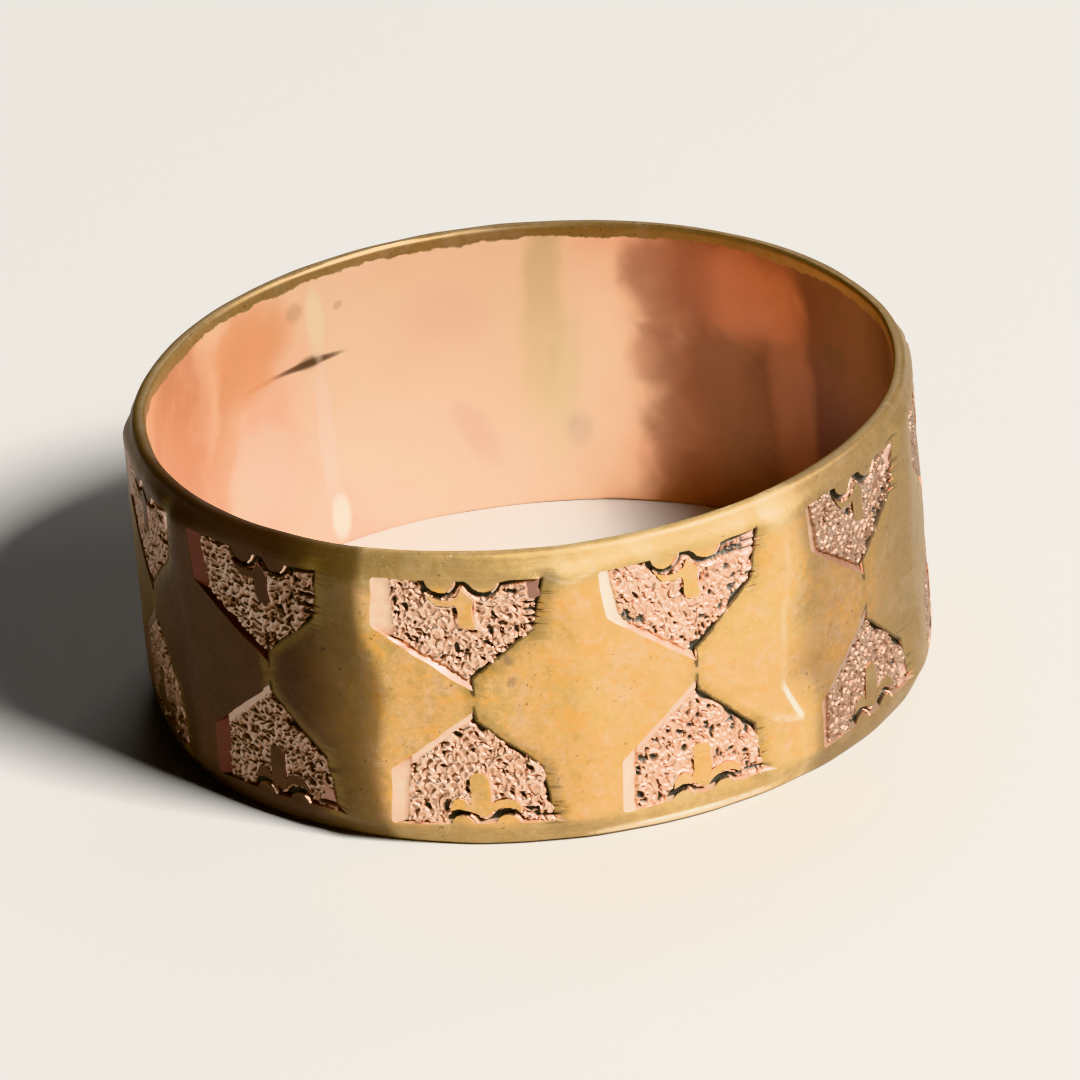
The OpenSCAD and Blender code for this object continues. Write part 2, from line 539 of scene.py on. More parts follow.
@dataclass(frozen=True)
class WingShape:
    """The cut outline of one wing, in millimetres, drawn as an upper wing seen from outside.

    x runs round the band from the middle of the facet, and y is the distance from the middle of the band.
    """

    # Corners of the outline, from the tip round by the steep side, and height of the upright cut at the tip
    tip: Point = (0.19, 0.26)
    tip_h: float = 0.32
    shoulder: Point = (1.78, 1.82)
    crest: Point = (2.02, 3.08)
    heel: Point = (-2.02, 3.08)
    elbow: Point = (-2.00, 1.80)
    # Widths of the bright slopes: along the heel, and along the lower edge at the elbow and at the tip
    heel_slope: float = 0.46
    edge_slope: float = 0.09
    tip_slope: float = 0.19
    # Places of the two lobes, their height and radius, and where the wavy edge runs on after them
    lobes: tuple[float, float] = (-0.34, 0.66)
    lobe_y: float = 3.10
    lobe_r: float = 0.32
    wave_end: tuple[Point, ...] = ((1.22, 3.07), (1.75, 3.15))
    # The anchor and its bright ridges, and how far this one stands to the right
    anchor: tuple[Point, ...] = UPPER_ANCHOR
    ridges: tuple[tuple[Point, ...], ...] = UPPER_RIDGES
    anchor_shift: float = 0.0
    # Black holes, heights of the strokes that ran past the top edge, and length of the sliver at the crest
    gashes: tuple[Gash, ...] = ()
    streaks: tuple[float, ...] = (1.95, 2.15, 2.4)
    patch: Patch = Patch.NONE
    sliver: float = 0.0
    # How much more of the ground than usual is black
    holed: float = 1.0

    @property
    def tip_high(self) -> Point:
        """Upper end of the short upright cut at the tip."""
        return (self.tip[0] + 0.03, self.tip[1] + self.tip_h)

    @property
    def outline(self) -> list[Point]:
        """The outline at the surface, from the tip round by the steep side, with the heel's corners worn."""
        (hx, hy), (ex, ey) = self.heel, self.elbow
        heel = [(hx + 0.04, hy), (hx - 0.01, hy - 0.06)]
        elbow = [(ex, ey + 0.04), (ex + 0.05, ey - 0.04)]
        return [self.tip, self.tip_high, self.shoulder, self.crest, *heel, *elbow]

    @property
    def steep_path(self) -> list[Point]:
        """The part of the outline that is cut straight down."""
        return [self.tip_high, self.shoulder, self.crest, self.heel]

    @property
    def floor_outline(self) -> list[Point]:
        """The outline at the floor, inside the two slopes. The lower slope widens towards the tip."""
        (ex, ey), (tx, ty) = self.elbow, self.tip
        steep = math.hypot(tx - ex, ty - ey) / (tx - ex)
        inner_x = ex + 1.12 * self.heel_slope
        inner_y = ey + (inner_x - ex) * (ty - ey) / (tx - ex) + self.edge_slope * steep
        end = (self.tip_high[0] - 0.015, ty + self.tip_slope * steep)
        hx, hy = self.heel[0] + 0.9 * self.heel_slope, self.heel[1]
        crest = (self.crest[0], self.crest[1] - 0.05)
        heel = [(hx + 0.05, hy - 0.05), (hx, hy - 0.15)]
        elbow = [(inner_x, inner_y + 0.06), (inner_x + 0.04, inner_y - 0.03)]
        return [end, self.tip_high, self.shoulder, crest, *heel, *elbow]

    @property
    def wave(self) -> list[Point]:
        """The lower edge of the two lobes, which run together between them."""
        low, high = self.lobes
        notch = [((low + high) / 2 + side, self.lobe_y - 0.02) for side in (-0.11, 0.09)]
        points: list[Point] = []
        for x, start, stop, after in ((low, 184, 340, notch), (high, 200, 345, [])):
            for k in range(ARC_STEPS + 1):
                a = math.radians(start + k * (stop - start) / ARC_STEPS)
                points.append((x + self.lobe_r * math.cos(a), self.lobe_y + self.lobe_r * math.sin(a)))
            points += after
        return points + [(x + high - UPPER_LOBE_X, y) for x, y in self.wave_end]

    def jittered(self, rng: np.random.Generator) -> "WingShape":
        """Varies the wing as another stroke of the same hand would have cut it.

        Args:
            rng: where the random draws come from.

        Returns:
            The other wing.
        """

        def near(p: Point, by: float) -> Point:
            """Returns a point near another one."""
            return (p[0] + float(rng.normal(0, by)), p[1] + float(rng.normal(0, by * 0.6)))

        low, high = self.lobes
        return replace(
            self,
            tip=near(self.tip, 0.03),
            shoulder=near(self.shoulder, 0.05),
            crest=(self.crest[0] + float(rng.normal(0, 0.05)), self.crest[1]),
            heel=(self.heel[0] + float(rng.normal(0, 0.07)), self.heel[1]),
            elbow=near(self.elbow, 0.05),
            heel_slope=float(rng.uniform(0.36, 0.52)),
            edge_slope=float(rng.uniform(0.05, 0.13)),
            tip_slope=float(rng.uniform(0.12, 0.19)),
            lobes=(low + float(rng.normal(0, 0.03)), high + float(rng.normal(0, 0.03))),
            anchor_shift=float(rng.normal(0, 0.03)),
            patch=Patch(int(rng.integers(0, 3))),
            streaks=tuple(float(rng.uniform(1.85, 2.75)) for _ in range(int(rng.integers(1, 4)))),
        )


UPPER_WING = WingShape()
LOWER_WING = WingShape(
    tip=(0.17, 0.20), tip_h=0.28, shoulder=(1.60, 1.70), crest=(1.76, 3.00), heel=(-1.92, 3.08),
    elbow=(-1.85, 1.75), heel_slope=0.42, edge_slope=0.08, tip_slope=0.12, lobes=(-0.30, 0.72),
    lobe_y=3.14, lobe_r=0.29, wave_end=((1.06, 3.08), (1.14, 3.3)), anchor=LOWER_ANCHOR,
    ridges=LOWER_RIDGES, streaks=(2.88,), sliver=0.34,
)

MEASURED_WINGS: dict[tuple[int, Side], WingShape] = {
    (0, Side.UPPER): replace(
        UPPER_WING, tip=(0.19, 0.31), shoulder=(1.70, 1.86), crest=(2.00, 3.09), heel=(-1.93, 3.12),
        elbow=(-2.02, 1.90), edge_slope=0.05, tip_slope=0.19, streaks=(1.94, 2.14, 2.30, 2.48),
        patch=Patch.DARK,
        gashes=(
            Gash(-1.06, 1.56, 0.21, 0.085, -35), Gash(-1.42, 2.58, 0.06, 0.08),
            Gash(-1.41, 2.22, 0.06, 0.075), Gash(-0.86, 3.00, 0.12, 0.09),
            Gash(-0.74, 2.80, 0.05, 0.16, 10), Gash(-0.05, 2.32, 0.05, 0.10, 15),
            Gash(0.84, 2.15, 0.09, 0.07, 20), Gash(1.04, 1.99, 0.10, 0.05, 10),
            Gash(0.66, 1.50, 0.11, 0.08, -30), Gash(1.10, 1.38, 0.12, 0.07, 50),
            Gash(-0.06, 1.09, 0.07, 0.05, 20), Gash(-0.44, 1.12, 0.08, 0.035, 20),
            Gash(1.40, 1.84, 0.13, 0.08, 30), Gash(0.34, 1.80, 0.09, 0.04),
            Gash(0.50, 1.12, 0.06, 0.06),
        ),
    ),
    (0, Side.LOWER): replace(
        LOWER_WING, tip=(0.17, 0.19), tip_h=0.30, shoulder=(1.62, 1.66), crest=(1.80, 3.02),
        heel=(-1.96, 3.10), elbow=(-1.88, 1.74), lobes=(-0.30, 0.73),
        gashes=(
            Gash(0.49, 1.24, 0.10, 0.06, -20), Gash(-1.37, 1.67, 0.06, 0.09, 20),
            Gash(-1.33, 2.27, 0.06, 0.07), Gash(-1.11, 2.66, 0.08, 0.09), Gash(0.88, 2.27, 0.07, 0.08),
            Gash(-0.15, 2.10, 0.04, 0.16, 8), Gash(-0.66, 2.62, 0.06, 0.20, 20),
            Gash(1.24, 2.74, 0.22, 0.11, 5), Gash(-0.62, 1.02, 0.10, 0.03, 30),
            Gash(0.75, 1.78, 0.07, 0.05, -30), Gash(0.05, 1.22, 0.05, 0.06),
        ),
    ),
    (1, Side.UPPER): replace(
        UPPER_WING, tip=(0.19, 0.27), shoulder=(1.74, 1.90), crest=(1.98, 3.09), heel=(-1.94, 3.06),
        elbow=(-1.86, 1.88), heel_slope=0.34, edge_slope=0.11, tip_slope=0.15, lobes=(-0.37, 0.66),
        anchor_shift=0.02, streaks=(2.03, 2.66, 2.84), patch=Patch.PALE, holed=2.4,
        gashes=(
            Gash(-1.22, 1.70, 0.30, 0.10, -24), Gash(-0.66, 2.84, 0.09, 0.12, 30),
            Gash(1.22, 1.86, 0.12, 0.09, 40), Gash(1.38, 2.12, 0.14, 0.06, 20),
            Gash(0.66, 2.30, 0.05, 0.10), Gash(-0.55, 1.24, 0.08, 0.05, 10),
            Gash(0.02, 2.10, 0.045, 0.17, 8), Gash(0.92, 1.46, 0.09, 0.06, 60),
            Gash(-1.45, 2.30, 0.05, 0.05), Gash(1.28, 2.76, 0.48, 0.095, 6),
            Gash(0.34, 0.92, 0.08, 0.05, 30), Gash(0.30, 1.50, 0.07, 0.04, 40),
        ),
    ),
    (1, Side.LOWER): replace(
        LOWER_WING, tip=(0.16, 0.18), tip_h=0.27, shoulder=(1.50, 1.74), crest=(1.62, 2.96),
        heel=(-1.84, 3.06), elbow=(-1.80, 1.76), heel_slope=0.36, lobes=(-0.40, 0.62),
        anchor_shift=-0.03, streaks=(2.80,), sliver=0.42, holed=1.8,
        gashes=(
            Gash(-1.12, 1.84, 0.16, 0.09, 5), Gash(-0.98, 2.90, 0.10, 0.13),
            Gash(-1.34, 2.86, 0.09, 0.07), Gash(-0.08, 1.28, 0.09, 0.07, 30),
            Gash(0.96, 2.64, 0.12, 0.08, -20), Gash(1.28, 2.72, 0.11, 0.06, -20),
            Gash(-1.42, 2.10, 0.05, 0.12), Gash(-0.50, 2.86, 0.11, 0.06, 20),
            Gash(-0.62, 1.30, 0.07, 0.06, 40), Gash(0.62, 1.50, 0.07, 0.03, -30),
            Gash(0.98, 1.60, 0.06, 0.05),
        ),
    ),
    (2, Side.UPPER): replace(
        UPPER_WING, tip=(0.19, 0.48), shoulder=(1.70, 1.98), crest=(1.97, 3.06), heel=(-1.78, 3.06),
        elbow=(-1.70, 1.90), heel_slope=0.30, patch=Patch.PALE,
    ),
    (2, Side.LOWER): replace(
        LOWER_WING, tip=(0.19, 0.40), shoulder=(1.66, 1.90), crest=(1.88, 3.02), heel=(-1.80, 3.06),
        elbow=(-1.74, 1.92), heel_slope=0.30, patch=Patch.PALE,
    ),
    (-1, Side.UPPER): replace(
        UPPER_WING, tip=(0.19, 0.36), shoulder=(1.66, 1.84), crest=(1.86, 3.08), heel=(-2.16, 3.08),
        elbow=(-2.12, 1.86),
    ),
    (-1, Side.LOWER): replace(
        LOWER_WING, tip=(0.19, 0.22), shoulder=(1.64, 1.72), crest=(1.84, 3.02), heel=(-1.88, 3.08),
        elbow=(-1.86, 1.80), patch=Patch.DARK,
    ),
}


def cut_wings() -> dict[tuple[int, Side], WingShape]:
    """Draws the wings that aren't measured.

    Returns:
        The shape of each of the band's wings, by facet and side.
    """
    rng = np.random.default_rng(41)
    wings: dict[tuple[int, Side], WingShape] = {}
    for facet in range(-(BAND.facets // 2), BAND.facets // 2 + 1):
        for side in Side:
            drawn = (UPPER_WING if side is Side.UPPER else LOWER_WING).jittered(rng)
            wings[facet, side] = MEASURED_WINGS.get((facet, side), drawn)
    return wings


# Modelling helpers


def deselect() -> None:
    """Leaves nothing selected."""
    bpy.ops.object.select_all(action="DESELECT")


def take(piece: bpy.types.Object) -> bpy.types.Object:
    """Selects one object alone and makes it the active one.

    Args:
        piece: the object.

    Returns:
        The same object.
    """
    deselect()
    piece.select_set(True)
    bpy.context.view_layer.objects.active = piece
    return piece


def select_where(piece: bpy.types.Object, part: str, wanted: np.ndarray) -> None:
    """Selects some of a mesh's vertices, edges or faces, in object mode.

    Args:
        piece: the mesh.
        part: "vertices", "edges" or "polygons".
        wanted: true for each one to select.
    """
    for name in ("vertices", "edges", "polygons"):
        items = getattr(piece.data, name)
        items.foreach_set("select", wanted if name == part else np.zeros(len(items), bool))


@contextmanager
def editing(elements: str) -> Iterator[None]:
    """Holds the active piece in edit mode.

    Args:
        elements: what is to be picked there, VERT, EDGE or FACE.
    """
    bpy.ops.object.mode_set(mode="EDIT")
    bpy.ops.mesh.select_mode(type=elements)
    yield
    bpy.ops.object.mode_set(mode="OBJECT")


def points_of(piece: bpy.types.Object) -> np.ndarray:
    """Reads the vertices of a mesh.

    Args:
        piece: the mesh.

    Returns:
        x, y, z of each vertex.
    """
    flat = np.empty(len(piece.data.vertices) * 3)
    piece.data.vertices.foreach_get("co", flat)
    return flat.reshape(-1, 3)


def place_points(piece: bpy.types.Object, points: np.ndarray) -> None:
    """Moves the vertices of a mesh to new places."""
    piece.data.vertices.foreach_set("co", points.astype(np.float32).ravel())
    piece.data.update()


def store(piece: bpy.types.Object, name: str, values: np.ndarray) -> None:
    """Keeps one number for each vertex, for the materials."""
    made = piece.data.attributes.new(name, "FLOAT", "POINT")
    made.data.foreach_set("value", values.astype(np.float32))


def face_outward(piece: bpy.types.Object) -> None:
    """Turns the faces of a closed mesh outwards, judged by the volume that they enclose.

    Args:
        piece: the mesh.
    """
    take(piece)
    bpy.ops.object.mode_set(mode="EDIT")
    bpy.ops.mesh.select_all(action="SELECT")
    bpy.ops.mesh.normals_make_consistent(inside=False)
    bpy.ops.object.mode_set(mode="OBJECT")
    piece.data.calc_loop_triangles()
    corners = np.empty(len(piece.data.loop_triangles) * 3, np.int32)
    piece.data.loop_triangles.foreach_get("vertices", corners)
    a, b, c = points_of(piece)[corners.reshape(-1, 3)].transpose(1, 0, 2)
    if np.einsum("ij,ij->", a, np.cross(b, c)) < 0:
        bpy.ops.object.mode_set(mode="EDIT")
        bpy.ops.mesh.flip_normals()
        bpy.ops.object.mode_set(mode="OBJECT")


def is_closed(piece: bpy.types.Object) -> bool:
    """Tells whether a mesh is closed.

    Args:
        piece: the mesh.

    Returns:
        True if it has faces and each of its edges has two of them.
    """
    mesh = piece.data
    edge_of = np.empty(len(mesh.loops), np.int32)
    mesh.loops.foreach_get("edge_index", edge_of)
    return len(edge_of) > 0 and bool((np.bincount(edge_of, minlength=len(mesh.edges)) == 2).all())


def boolean(piece: bpy.types.Object, tool: bpy.types.Object, operation: str) -> None:
    """Cuts or joins one closed mesh with another, which is used up.

    Args:
        piece: the mesh that stays.
        tool: the mesh that is cut away or added.
        operation: "DIFFERENCE" or "UNION".

    Raises:
        RuntimeError: if neither solver leaves a closed mesh.
    """
    before = piece.data.copy()
    for solver in ("FAST", "EXACT"):
        take(piece)
        modifier = piece.modifiers.new("cut", "BOOLEAN")
        modifier.operation, modifier.object, modifier.solver = operation, tool, solver
        bpy.ops.object.modifier_apply(modifier=modifier.name)
        if is_closed(piece):
            break
        piece.data = before.copy()
    else:
        raise RuntimeError(f"{piece.name} can't be cut by {tool.name}")
    bpy.data.objects.remove(tool)


def prism(name: str, rings: list[list[Point]], levels: list[float]) -> bpy.types.Object:
    """Builds a closed solid whose outline goes through one ring after another.

    Args:
        name: name of the new object.
        rings: outlines with the same number of points each.
        levels: the height of each outline, from the top down.

    Returns:
        The solid.
    """
    deselect()
    bpy.ops.mesh.primitive_circle_add(vertices=len(rings[0]), fill_type="NGON")
    piece = bpy.context.object
    piece.name = name
    place_points(piece, np.array([(px, py, levels[0]) for px, py in rings[0]]))
    for ring, level in zip(rings[1:], levels[1:]):
        bpy.ops.object.mode_set(mode="EDIT")
        bpy.ops.mesh.extrude_region_move()
        bpy.ops.object.mode_set(mode="OBJECT")
        chosen = np.zeros(len(piece.data.vertices), bool)
        piece.data.vertices.foreach_get("select", chosen)
        points = points_of(piece)
        start = np.array(rings[levels.index(level) - 1])
        for i in np.flatnonzero(chosen):
            # the corner of the outline before, which this vertex was extruded from
            k = int(np.argmin(np.hypot(*(start - points[i, :2]).T)))
            points[i] = (*ring[k], level)
        place_points(piece, points)
    face_outward(piece)
    return piece


# Shader nodes


class Val:
    """A socket of a node tree that can be used in arithmetic."""

    def __init__(self, finish: "Finish", socket: bpy.types.NodeSocket) -> None:
        """Wraps an output socket of a finish's nodes."""
        self.finish, self.socket = finish, socket

    def __add__(self, other: "Val | float") -> "Val":
        """Sum."""
        return self.finish.math("ADD", self, other)

    def __sub__(self, other: "Val | float") -> "Val":
        """Difference."""
        return self.finish.math("SUBTRACT", self, other)

    def __rsub__(self, other: float) -> "Val":
        """Difference from a number."""
        return self.finish.math("SUBTRACT", other, self)

    def __mul__(self, other: "Val | float") -> "Val":
        """Product."""
        return self.finish.math("MULTIPLY", self, other)

    __radd__ = __add__
    __rmul__ = __mul__

    def step(self, low: float, high: float) -> "Val":
        """Returns 0 at low, 1 at high and a soft step between them."""
        return self.finish.node(
            "ShaderNodeMapRange",
            {"interpolation_type": "SMOOTHSTEP"},
            {"Value": self, "From Min": low, "From Max": high},
        )

    def atleast(self, other: "Val | float") -> "Val":
        """The larger of two values."""
        return self.finish.math("MAXIMUM", self, other)

    def size(self) -> "Val":
        """The value without its sign."""
        return self.finish.math("ABSOLUTE", self, 0.0)


class Finish:
    """A material that is built from nodes."""

    name = "finish"

    def __init__(self) -> None:
        """Makes the material with an empty node tree and builds it."""
        self.material = bpy.data.materials.new(self.name)
        self.material.use_nodes = True
        self.tree = self.material.node_tree
        self.tree.nodes.clear()
        self.place = self.node("ShaderNodeTexCoord", output="Object")
        self.build()

    def build(self) -> None:
        """Adds the nodes of this finish."""
        raise NotImplementedError

    def node(
        self,
        kind: str,
        settings: dict[str, object] | None = None,
        inputs: dict[str | int, object] | None = None,
        output: str | int = 0,
    ) -> Val:
        """Adds a node.

        Args:
            kind: its type.
            settings: its own settings, or a ramp's stops under "stops".
            inputs: the value or link of each socket, by name or number.
            output: which output to return.

        Returns:
            The output socket.
        """
        made = self.tree.nodes.new(kind)
        for key, value in (settings or {}).items():
            if key == "stops":
                ramp = made.color_ramp
                while len(ramp.elements) < len(value):
                    ramp.elements.new(0.5)
                for element, (position, colour) in zip(ramp.elements, value):
                    element.position, element.color = position, (*colour, 1.0)
            else:
                setattr(made, key, value)
        for key, value in (inputs or {}).items():
            socket = made.inputs[key]
            if isinstance(value, Val):
                self.tree.links.new(value.socket, socket)
            elif isinstance(value, tuple) and len(value) == 3 and socket.type == "RGBA":
                socket.default_value = (*value, 1.0)
            else:
                socket.default_value = value
        return Val(self, made.outputs[output])

    def math(self, operation: str, a: "Val | float", b: "Val | float") -> Val:
        """Adds one step of arithmetic."""
        return self.node("ShaderNodeMath", {"operation": operation}, {0: a, 1: b})

    def attribute(self, name: str) -> Val:
        """Reads a number that the mesh keeps for each vertex."""
        return self.node("ShaderNodeAttribute", {"attribute_name": name}, output="Fac")

    def noise(
        self, size: float, detail: float = 2, rough: float = 0.5, where: Val | None = None, warp: float = 0
    ) -> Val:
        """Adds noise.

        Args:
            size: size of its spots in millimetres.
            detail: how many finer layers it has.
            rough: how strong they are.
            where: the points it is read at, if not the object's own.
            warp: how much it is distorted.

        Returns:
            Its value, from 0 to 1.
        """
        inputs = {"Vector": where or self.place, "Scale": 1.0 / (size * MM), "Detail": detail}
        inputs |= {"Roughness": rough, "Distortion": warp}
        return self.node("ShaderNodeTexNoise", {}, inputs, "Fac")

    def stretched(self, along: float, across: float) -> Val:
        """Returns the object's points with x and y pressed together, for noise in lines round the band."""
        press = across / along
        return self.node("ShaderNodeMapping", {}, {"Vector": self.place, "Scale": (press, press, 1.0)})

    def slanted(self, along: float, across: float) -> Val:
        """Returns the object's points turned and pressed together, for noise in slanting lines."""
        scale, turn = (across / along, 1.0, 1.0), (0.0, 0.75, 0.35)
        return self.node("ShaderNodeMapping", {}, {"Vector": self.place, "Rotation": turn, "Scale": scale})

    def ramp(self, value: Val, stops: list[tuple[float, Colour]]) -> Val:
        """Turns a value into a colour."""
        return self.node("ShaderNodeValToRGB", {"stops": stops}, {"Fac": value}, "Color")

    def mix(self, factor: "Val | float", a: "Val | Colour", b: "Val | Colour", blend: str = "MIX") -> Val:
        """Mixes two colours. Sockets 6 and 7 are the node's colour inputs, and output 2 its colour."""
        settings = {"data_type": "RGBA", "blend_type": blend}
        return self.node("ShaderNodeMix", settings, {0: factor, 6: a, 7: b}, 2)

    def darken(self, name: str, colour: Val, by: Colour) -> Val:
        """Multiplies a colour by another one where an attribute of the mesh says so."""
        return self.mix(self.attribute(name), colour, by, "MULTIPLY")

    def bump(self, height: Val, depth: float, strength: float) -> Val:
        """Adds fine relief, depth millimetres high."""
        inputs = {"Height": height, "Distance": depth * MM, "Strength": strength}
        return self.node("ShaderNodeBump", {}, inputs, "Normal")

    def surface(
        self, colour: Val, roughness: Val | float, metallic: Val | float, normal: Val, **constants: float
    ) -> None:
        """Ends the nodes in one Principled shader.

        Args:
            colour: base colour.
            roughness: roughness.
            metallic: metallic.
            normal: the bumped normal.
            constants: values of other sockets, by their names with _ for spaces.
        """
        inputs: dict[str | int, object] = {
            "Base Color": colour,
            "Roughness": roughness,
            "Metallic": metallic,
            "Normal": normal,
        }
        inputs.update({key.replace("_", " "): value for key, value in constants.items()})
        shader = self.node("ShaderNodeBsdfPrincipled", {}, inputs)
        out = self.tree.nodes.new("ShaderNodeOutputMaterial")
        self.tree.links.new(shader.socket, out.inputs["Surface"])


# How far a mark reaches through the band, in millimetres
MARK_DEPTH = 6.0
# Colours of the yellow skin: clean; dull with tarnish and painted shade; painted sparkle; marked; worn bare
# with painted highlights; and darkened by painted shade, grime and the steep edges
OLIVE: Colour = (0.58, 0.41, 0.16)
ORANGE: Colour = (0.92, 0.47, 0.11)
PINKISH: Colour = (0.76, 0.50, 0.30)
DARK_MOTTLE: Colour = (0.50, 0.34, 0.11)
PALE_MOTTLE: Colour = (0.95, 0.63, 0.30)
DULL_DARK: Colour = (0.42, 0.29, 0.13)
DULL_PALE: Colour = (0.50, 0.35, 0.155)
GREYED: Colour = (0.62, 0.48, 0.28)
GLITTER: Colour = (1.0, 0.93, 0.78)
SPECK: Colour = (0.20, 0.11, 0.06)
SCRATCH: Colour = (0.36, 0.24, 0.10)
MAUVE: Colour = (0.40, 0.24, 0.19)
BRIGHT_LINE: Colour = (0.93, 0.60, 0.27)
BARE_AND_HIGHLIGHT: Colour = (1.0, 0.81, 0.57)
HIGHLIGHT_HALO: Colour = (1.0, 0.79, 0.52)
HIGHLIGHT_CORE: Colour = (1.0, 0.95, 0.82)
SHADED_GRIMY_SKIN: Colour = (0.15, 0.117, 0.15)
EDGE_BROWN: Colour = (0.30, 0.20, 0.075)
EDGE_BLACK: Colour = (0.075, 0.055, 0.032)


class YellowSkin(Finish):
    """Worn yellow gold with a brownish tarnish, fine scratches and dark specks, and with painted highlights
    and shade.
    """

    name = "yellow_skin"

    def mark(self, surface_mark: "SurfaceMark", r: float = BAND.bore_r) -> Val:
        """Adds the nodes of a mark. Marks are stains, painted reflections and shade, and painted highlights.

        Args:
            surface_mark: the mark.
            r: distance of the marked surface from the middle of the hole, in millimetres.

        Returns:
            How strongly the mark covers each point.
        """
        a = math.radians(surface_mark.angle)
        outwards, around = Vector((math.cos(a), math.sin(a), 0)), Vector((-math.sin(a), math.cos(a), 0))
        up = Vector((0, 0, 1))
        centre = (outwards * r + up * surface_mark.height) * MM
        cos, sin = math.cos(surface_mark.tilt), math.sin(surface_mark.tilt)
        sizes = (
            (around * cos + up * sin, surface_mark.wide),
            (up * cos - around * sin, surface_mark.tall),
            (outwards, MARK_DEPTH),
        )
        away = self.node("ShaderNodeVectorMath", {"operation": "SUBTRACT"}, {0: self.place, 1: tuple(centre)})
        far = (self.blots - 0.5) * surface_mark.ragged * 1.8
        for direction, size in sizes:
            inputs = {0: away, 1: tuple(direction / (size * MM))}
            share = self.node("ShaderNodeVectorMath", {"operation": "DOT_PRODUCT"}, inputs, "Value")
            far = far + share * share
        return far.step(1.0 + surface_mark.soft, 1.0 - surface_mark.soft) * surface_mark.strength

    def spotted(
        self, size: float, low: float, high: float, detail: float = 4, rough: float = 0.7, warp: float = 0.7
    ) -> Val:
        """Returns ragged spots where noise of a size rises from low to high: 0 between them and 1 on them."""
        return self.noise(size, detail, rough, warp=warp).step(low, high)

    def clean_gold(self, patchy: Val, blotch: Val) -> Val:
        """Mixes the mottled colours of the clean skin.

        Args:
            patchy: noise as large as the patches.
            blotch: noise as large as the mottling.

        Returns:
            The colour.
        """
        golds = [
            (0.28, (0.60, 0.355, 0.13)),
            (0.45, (0.73, 0.435, 0.168)),
            (0.60, (0.82, 0.49, 0.20)),
            (0.78, (0.86, 0.53, 0.245)),
        ]
        colour = self.ramp(patchy, golds)
        layers = (
            (self.noise(1.9, 3, 0.55).step(0.40, 0.66) * 0.55, OLIVE),
            (self.spotted(0.55, 0.50, 0.62, warp=0.8) * 0.60, ORANGE),
            (self.spotted(0.62, 0.52, 0.64) * 0.60, PINKISH),
            (blotch.step(0.48, 0.72) * 0.42, DARK_MOTTLE),
            (blotch.step(0.48, 0.30) * 0.40, PALE_MOTTLE),
        )
        for share, tint in layers:
            colour = self.mix(share, colour, tint)
        return colour

    def skin(self) -> tuple[Val, Val, Val]:
        """Adds the nodes of the skin.

        Returns:
            Its colour, its roughness and its relief.
        """
        patchy = self.noise(0.42, 4, 0.6, warp=0.4)
        blotch = self.noise(0.17, 3, 0.65, warp=0.5)
        grain = self.noise(0.07, 3, 0.6)
        # Dull with tarnish, and with painted shade beyond the lit clean facets
        dull_and_shaded = (self.attribute("tarnish") + (patchy - 0.5) * 0.5).step(0.15, 0.85)
        dull_gold = self.mix(blotch.step(0.35, 0.65), DULL_DARK, DULL_PALE)
        greyed = self.mix(self.spotted(0.95, 0.50, 0.66, 3, 0.6, 0.5) * 0.45, dull_gold, GREYED)
        colour = self.mix(dull_and_shaded * 0.88, self.clean_gold(patchy, blotch), greyed)
        # Painted highlights: tiny sparkles on the dull skin
        glitter = self.noise(0.06, 1, 0.4).step(0.75, 0.775) * dull_and_shaded * self.noise(1.3, 1).step(0.50, 0.60)
        specks = self.spotted(0.10, 0.70, 0.75, 1, 0.4, 0.8) * self.noise(0.9, 1).step(0.40, 0.60)
        curl = (self.noise(0.9, 1, 0.5, warp=1.4) - 0.5).size().step(0.007, 0.002)
        curl = curl * self.noise(0.8, 1).step(0.54, 0.62)
        lines = self.noise(0.05, 3, 0.6, self.stretched(2.2, 0.05))
        layers = (
            (glitter * 0.6, GLITTER),
            (specks * 0.75, SPECK),
            (curl * 0.45, SCRATCH),
            (self.spotted(0.4, 0.66, 0.76, warp=0.5) * 0.35, MAUVE),
            (lines.step(0.45, 0.75) * 0.12, BRIGHT_LINE),
        )
        for share, tint in layers:
            colour = self.mix(share, colour, tint)
        # Bare metal worn on the creases and rims, and the painted highlight along the lower rim
        wear = self.attribute("wear")
        bare_and_highlight = (wear + (blotch - 0.5) * 0.6 * wear.step(0.05, 0.3)).step(0.10, 0.95)
        colour = self.painted_highlight_lines(self.mix(bare_and_highlight * 0.80, colour, BARE_AND_HIGHLIGHT), blotch, grain)
        # Painted shade, partly grime, on the facets beyond the two lit clean ones, then darkening along the
        # steep edges
        colour, shade = self.darkened_by_steep_edges(self.darken("grime", colour, SHADED_GRIMY_SKIN))
        rough = 0.49 + (patchy - 0.5) * 0.18 + (grain - 0.5) * 0.12 - bare_and_highlight * 0.24 + shade * 0.12 + dull_and_shaded * 0.09
        crossing = self.noise(0.06, 2, 0.6, self.slanted(2.6, 0.06))
        scratches = self.noise(0.035, 1, 0.5, self.stretched(0.9, 0.035)).step(0.70, 0.78)
        relief = grain * 0.6 + lines * 0.18 + crossing * 0.28 + patchy * 0.8 + blotch * 0.5
        return colour, rough, relief - scratches * 0.5 - specks * 0.6

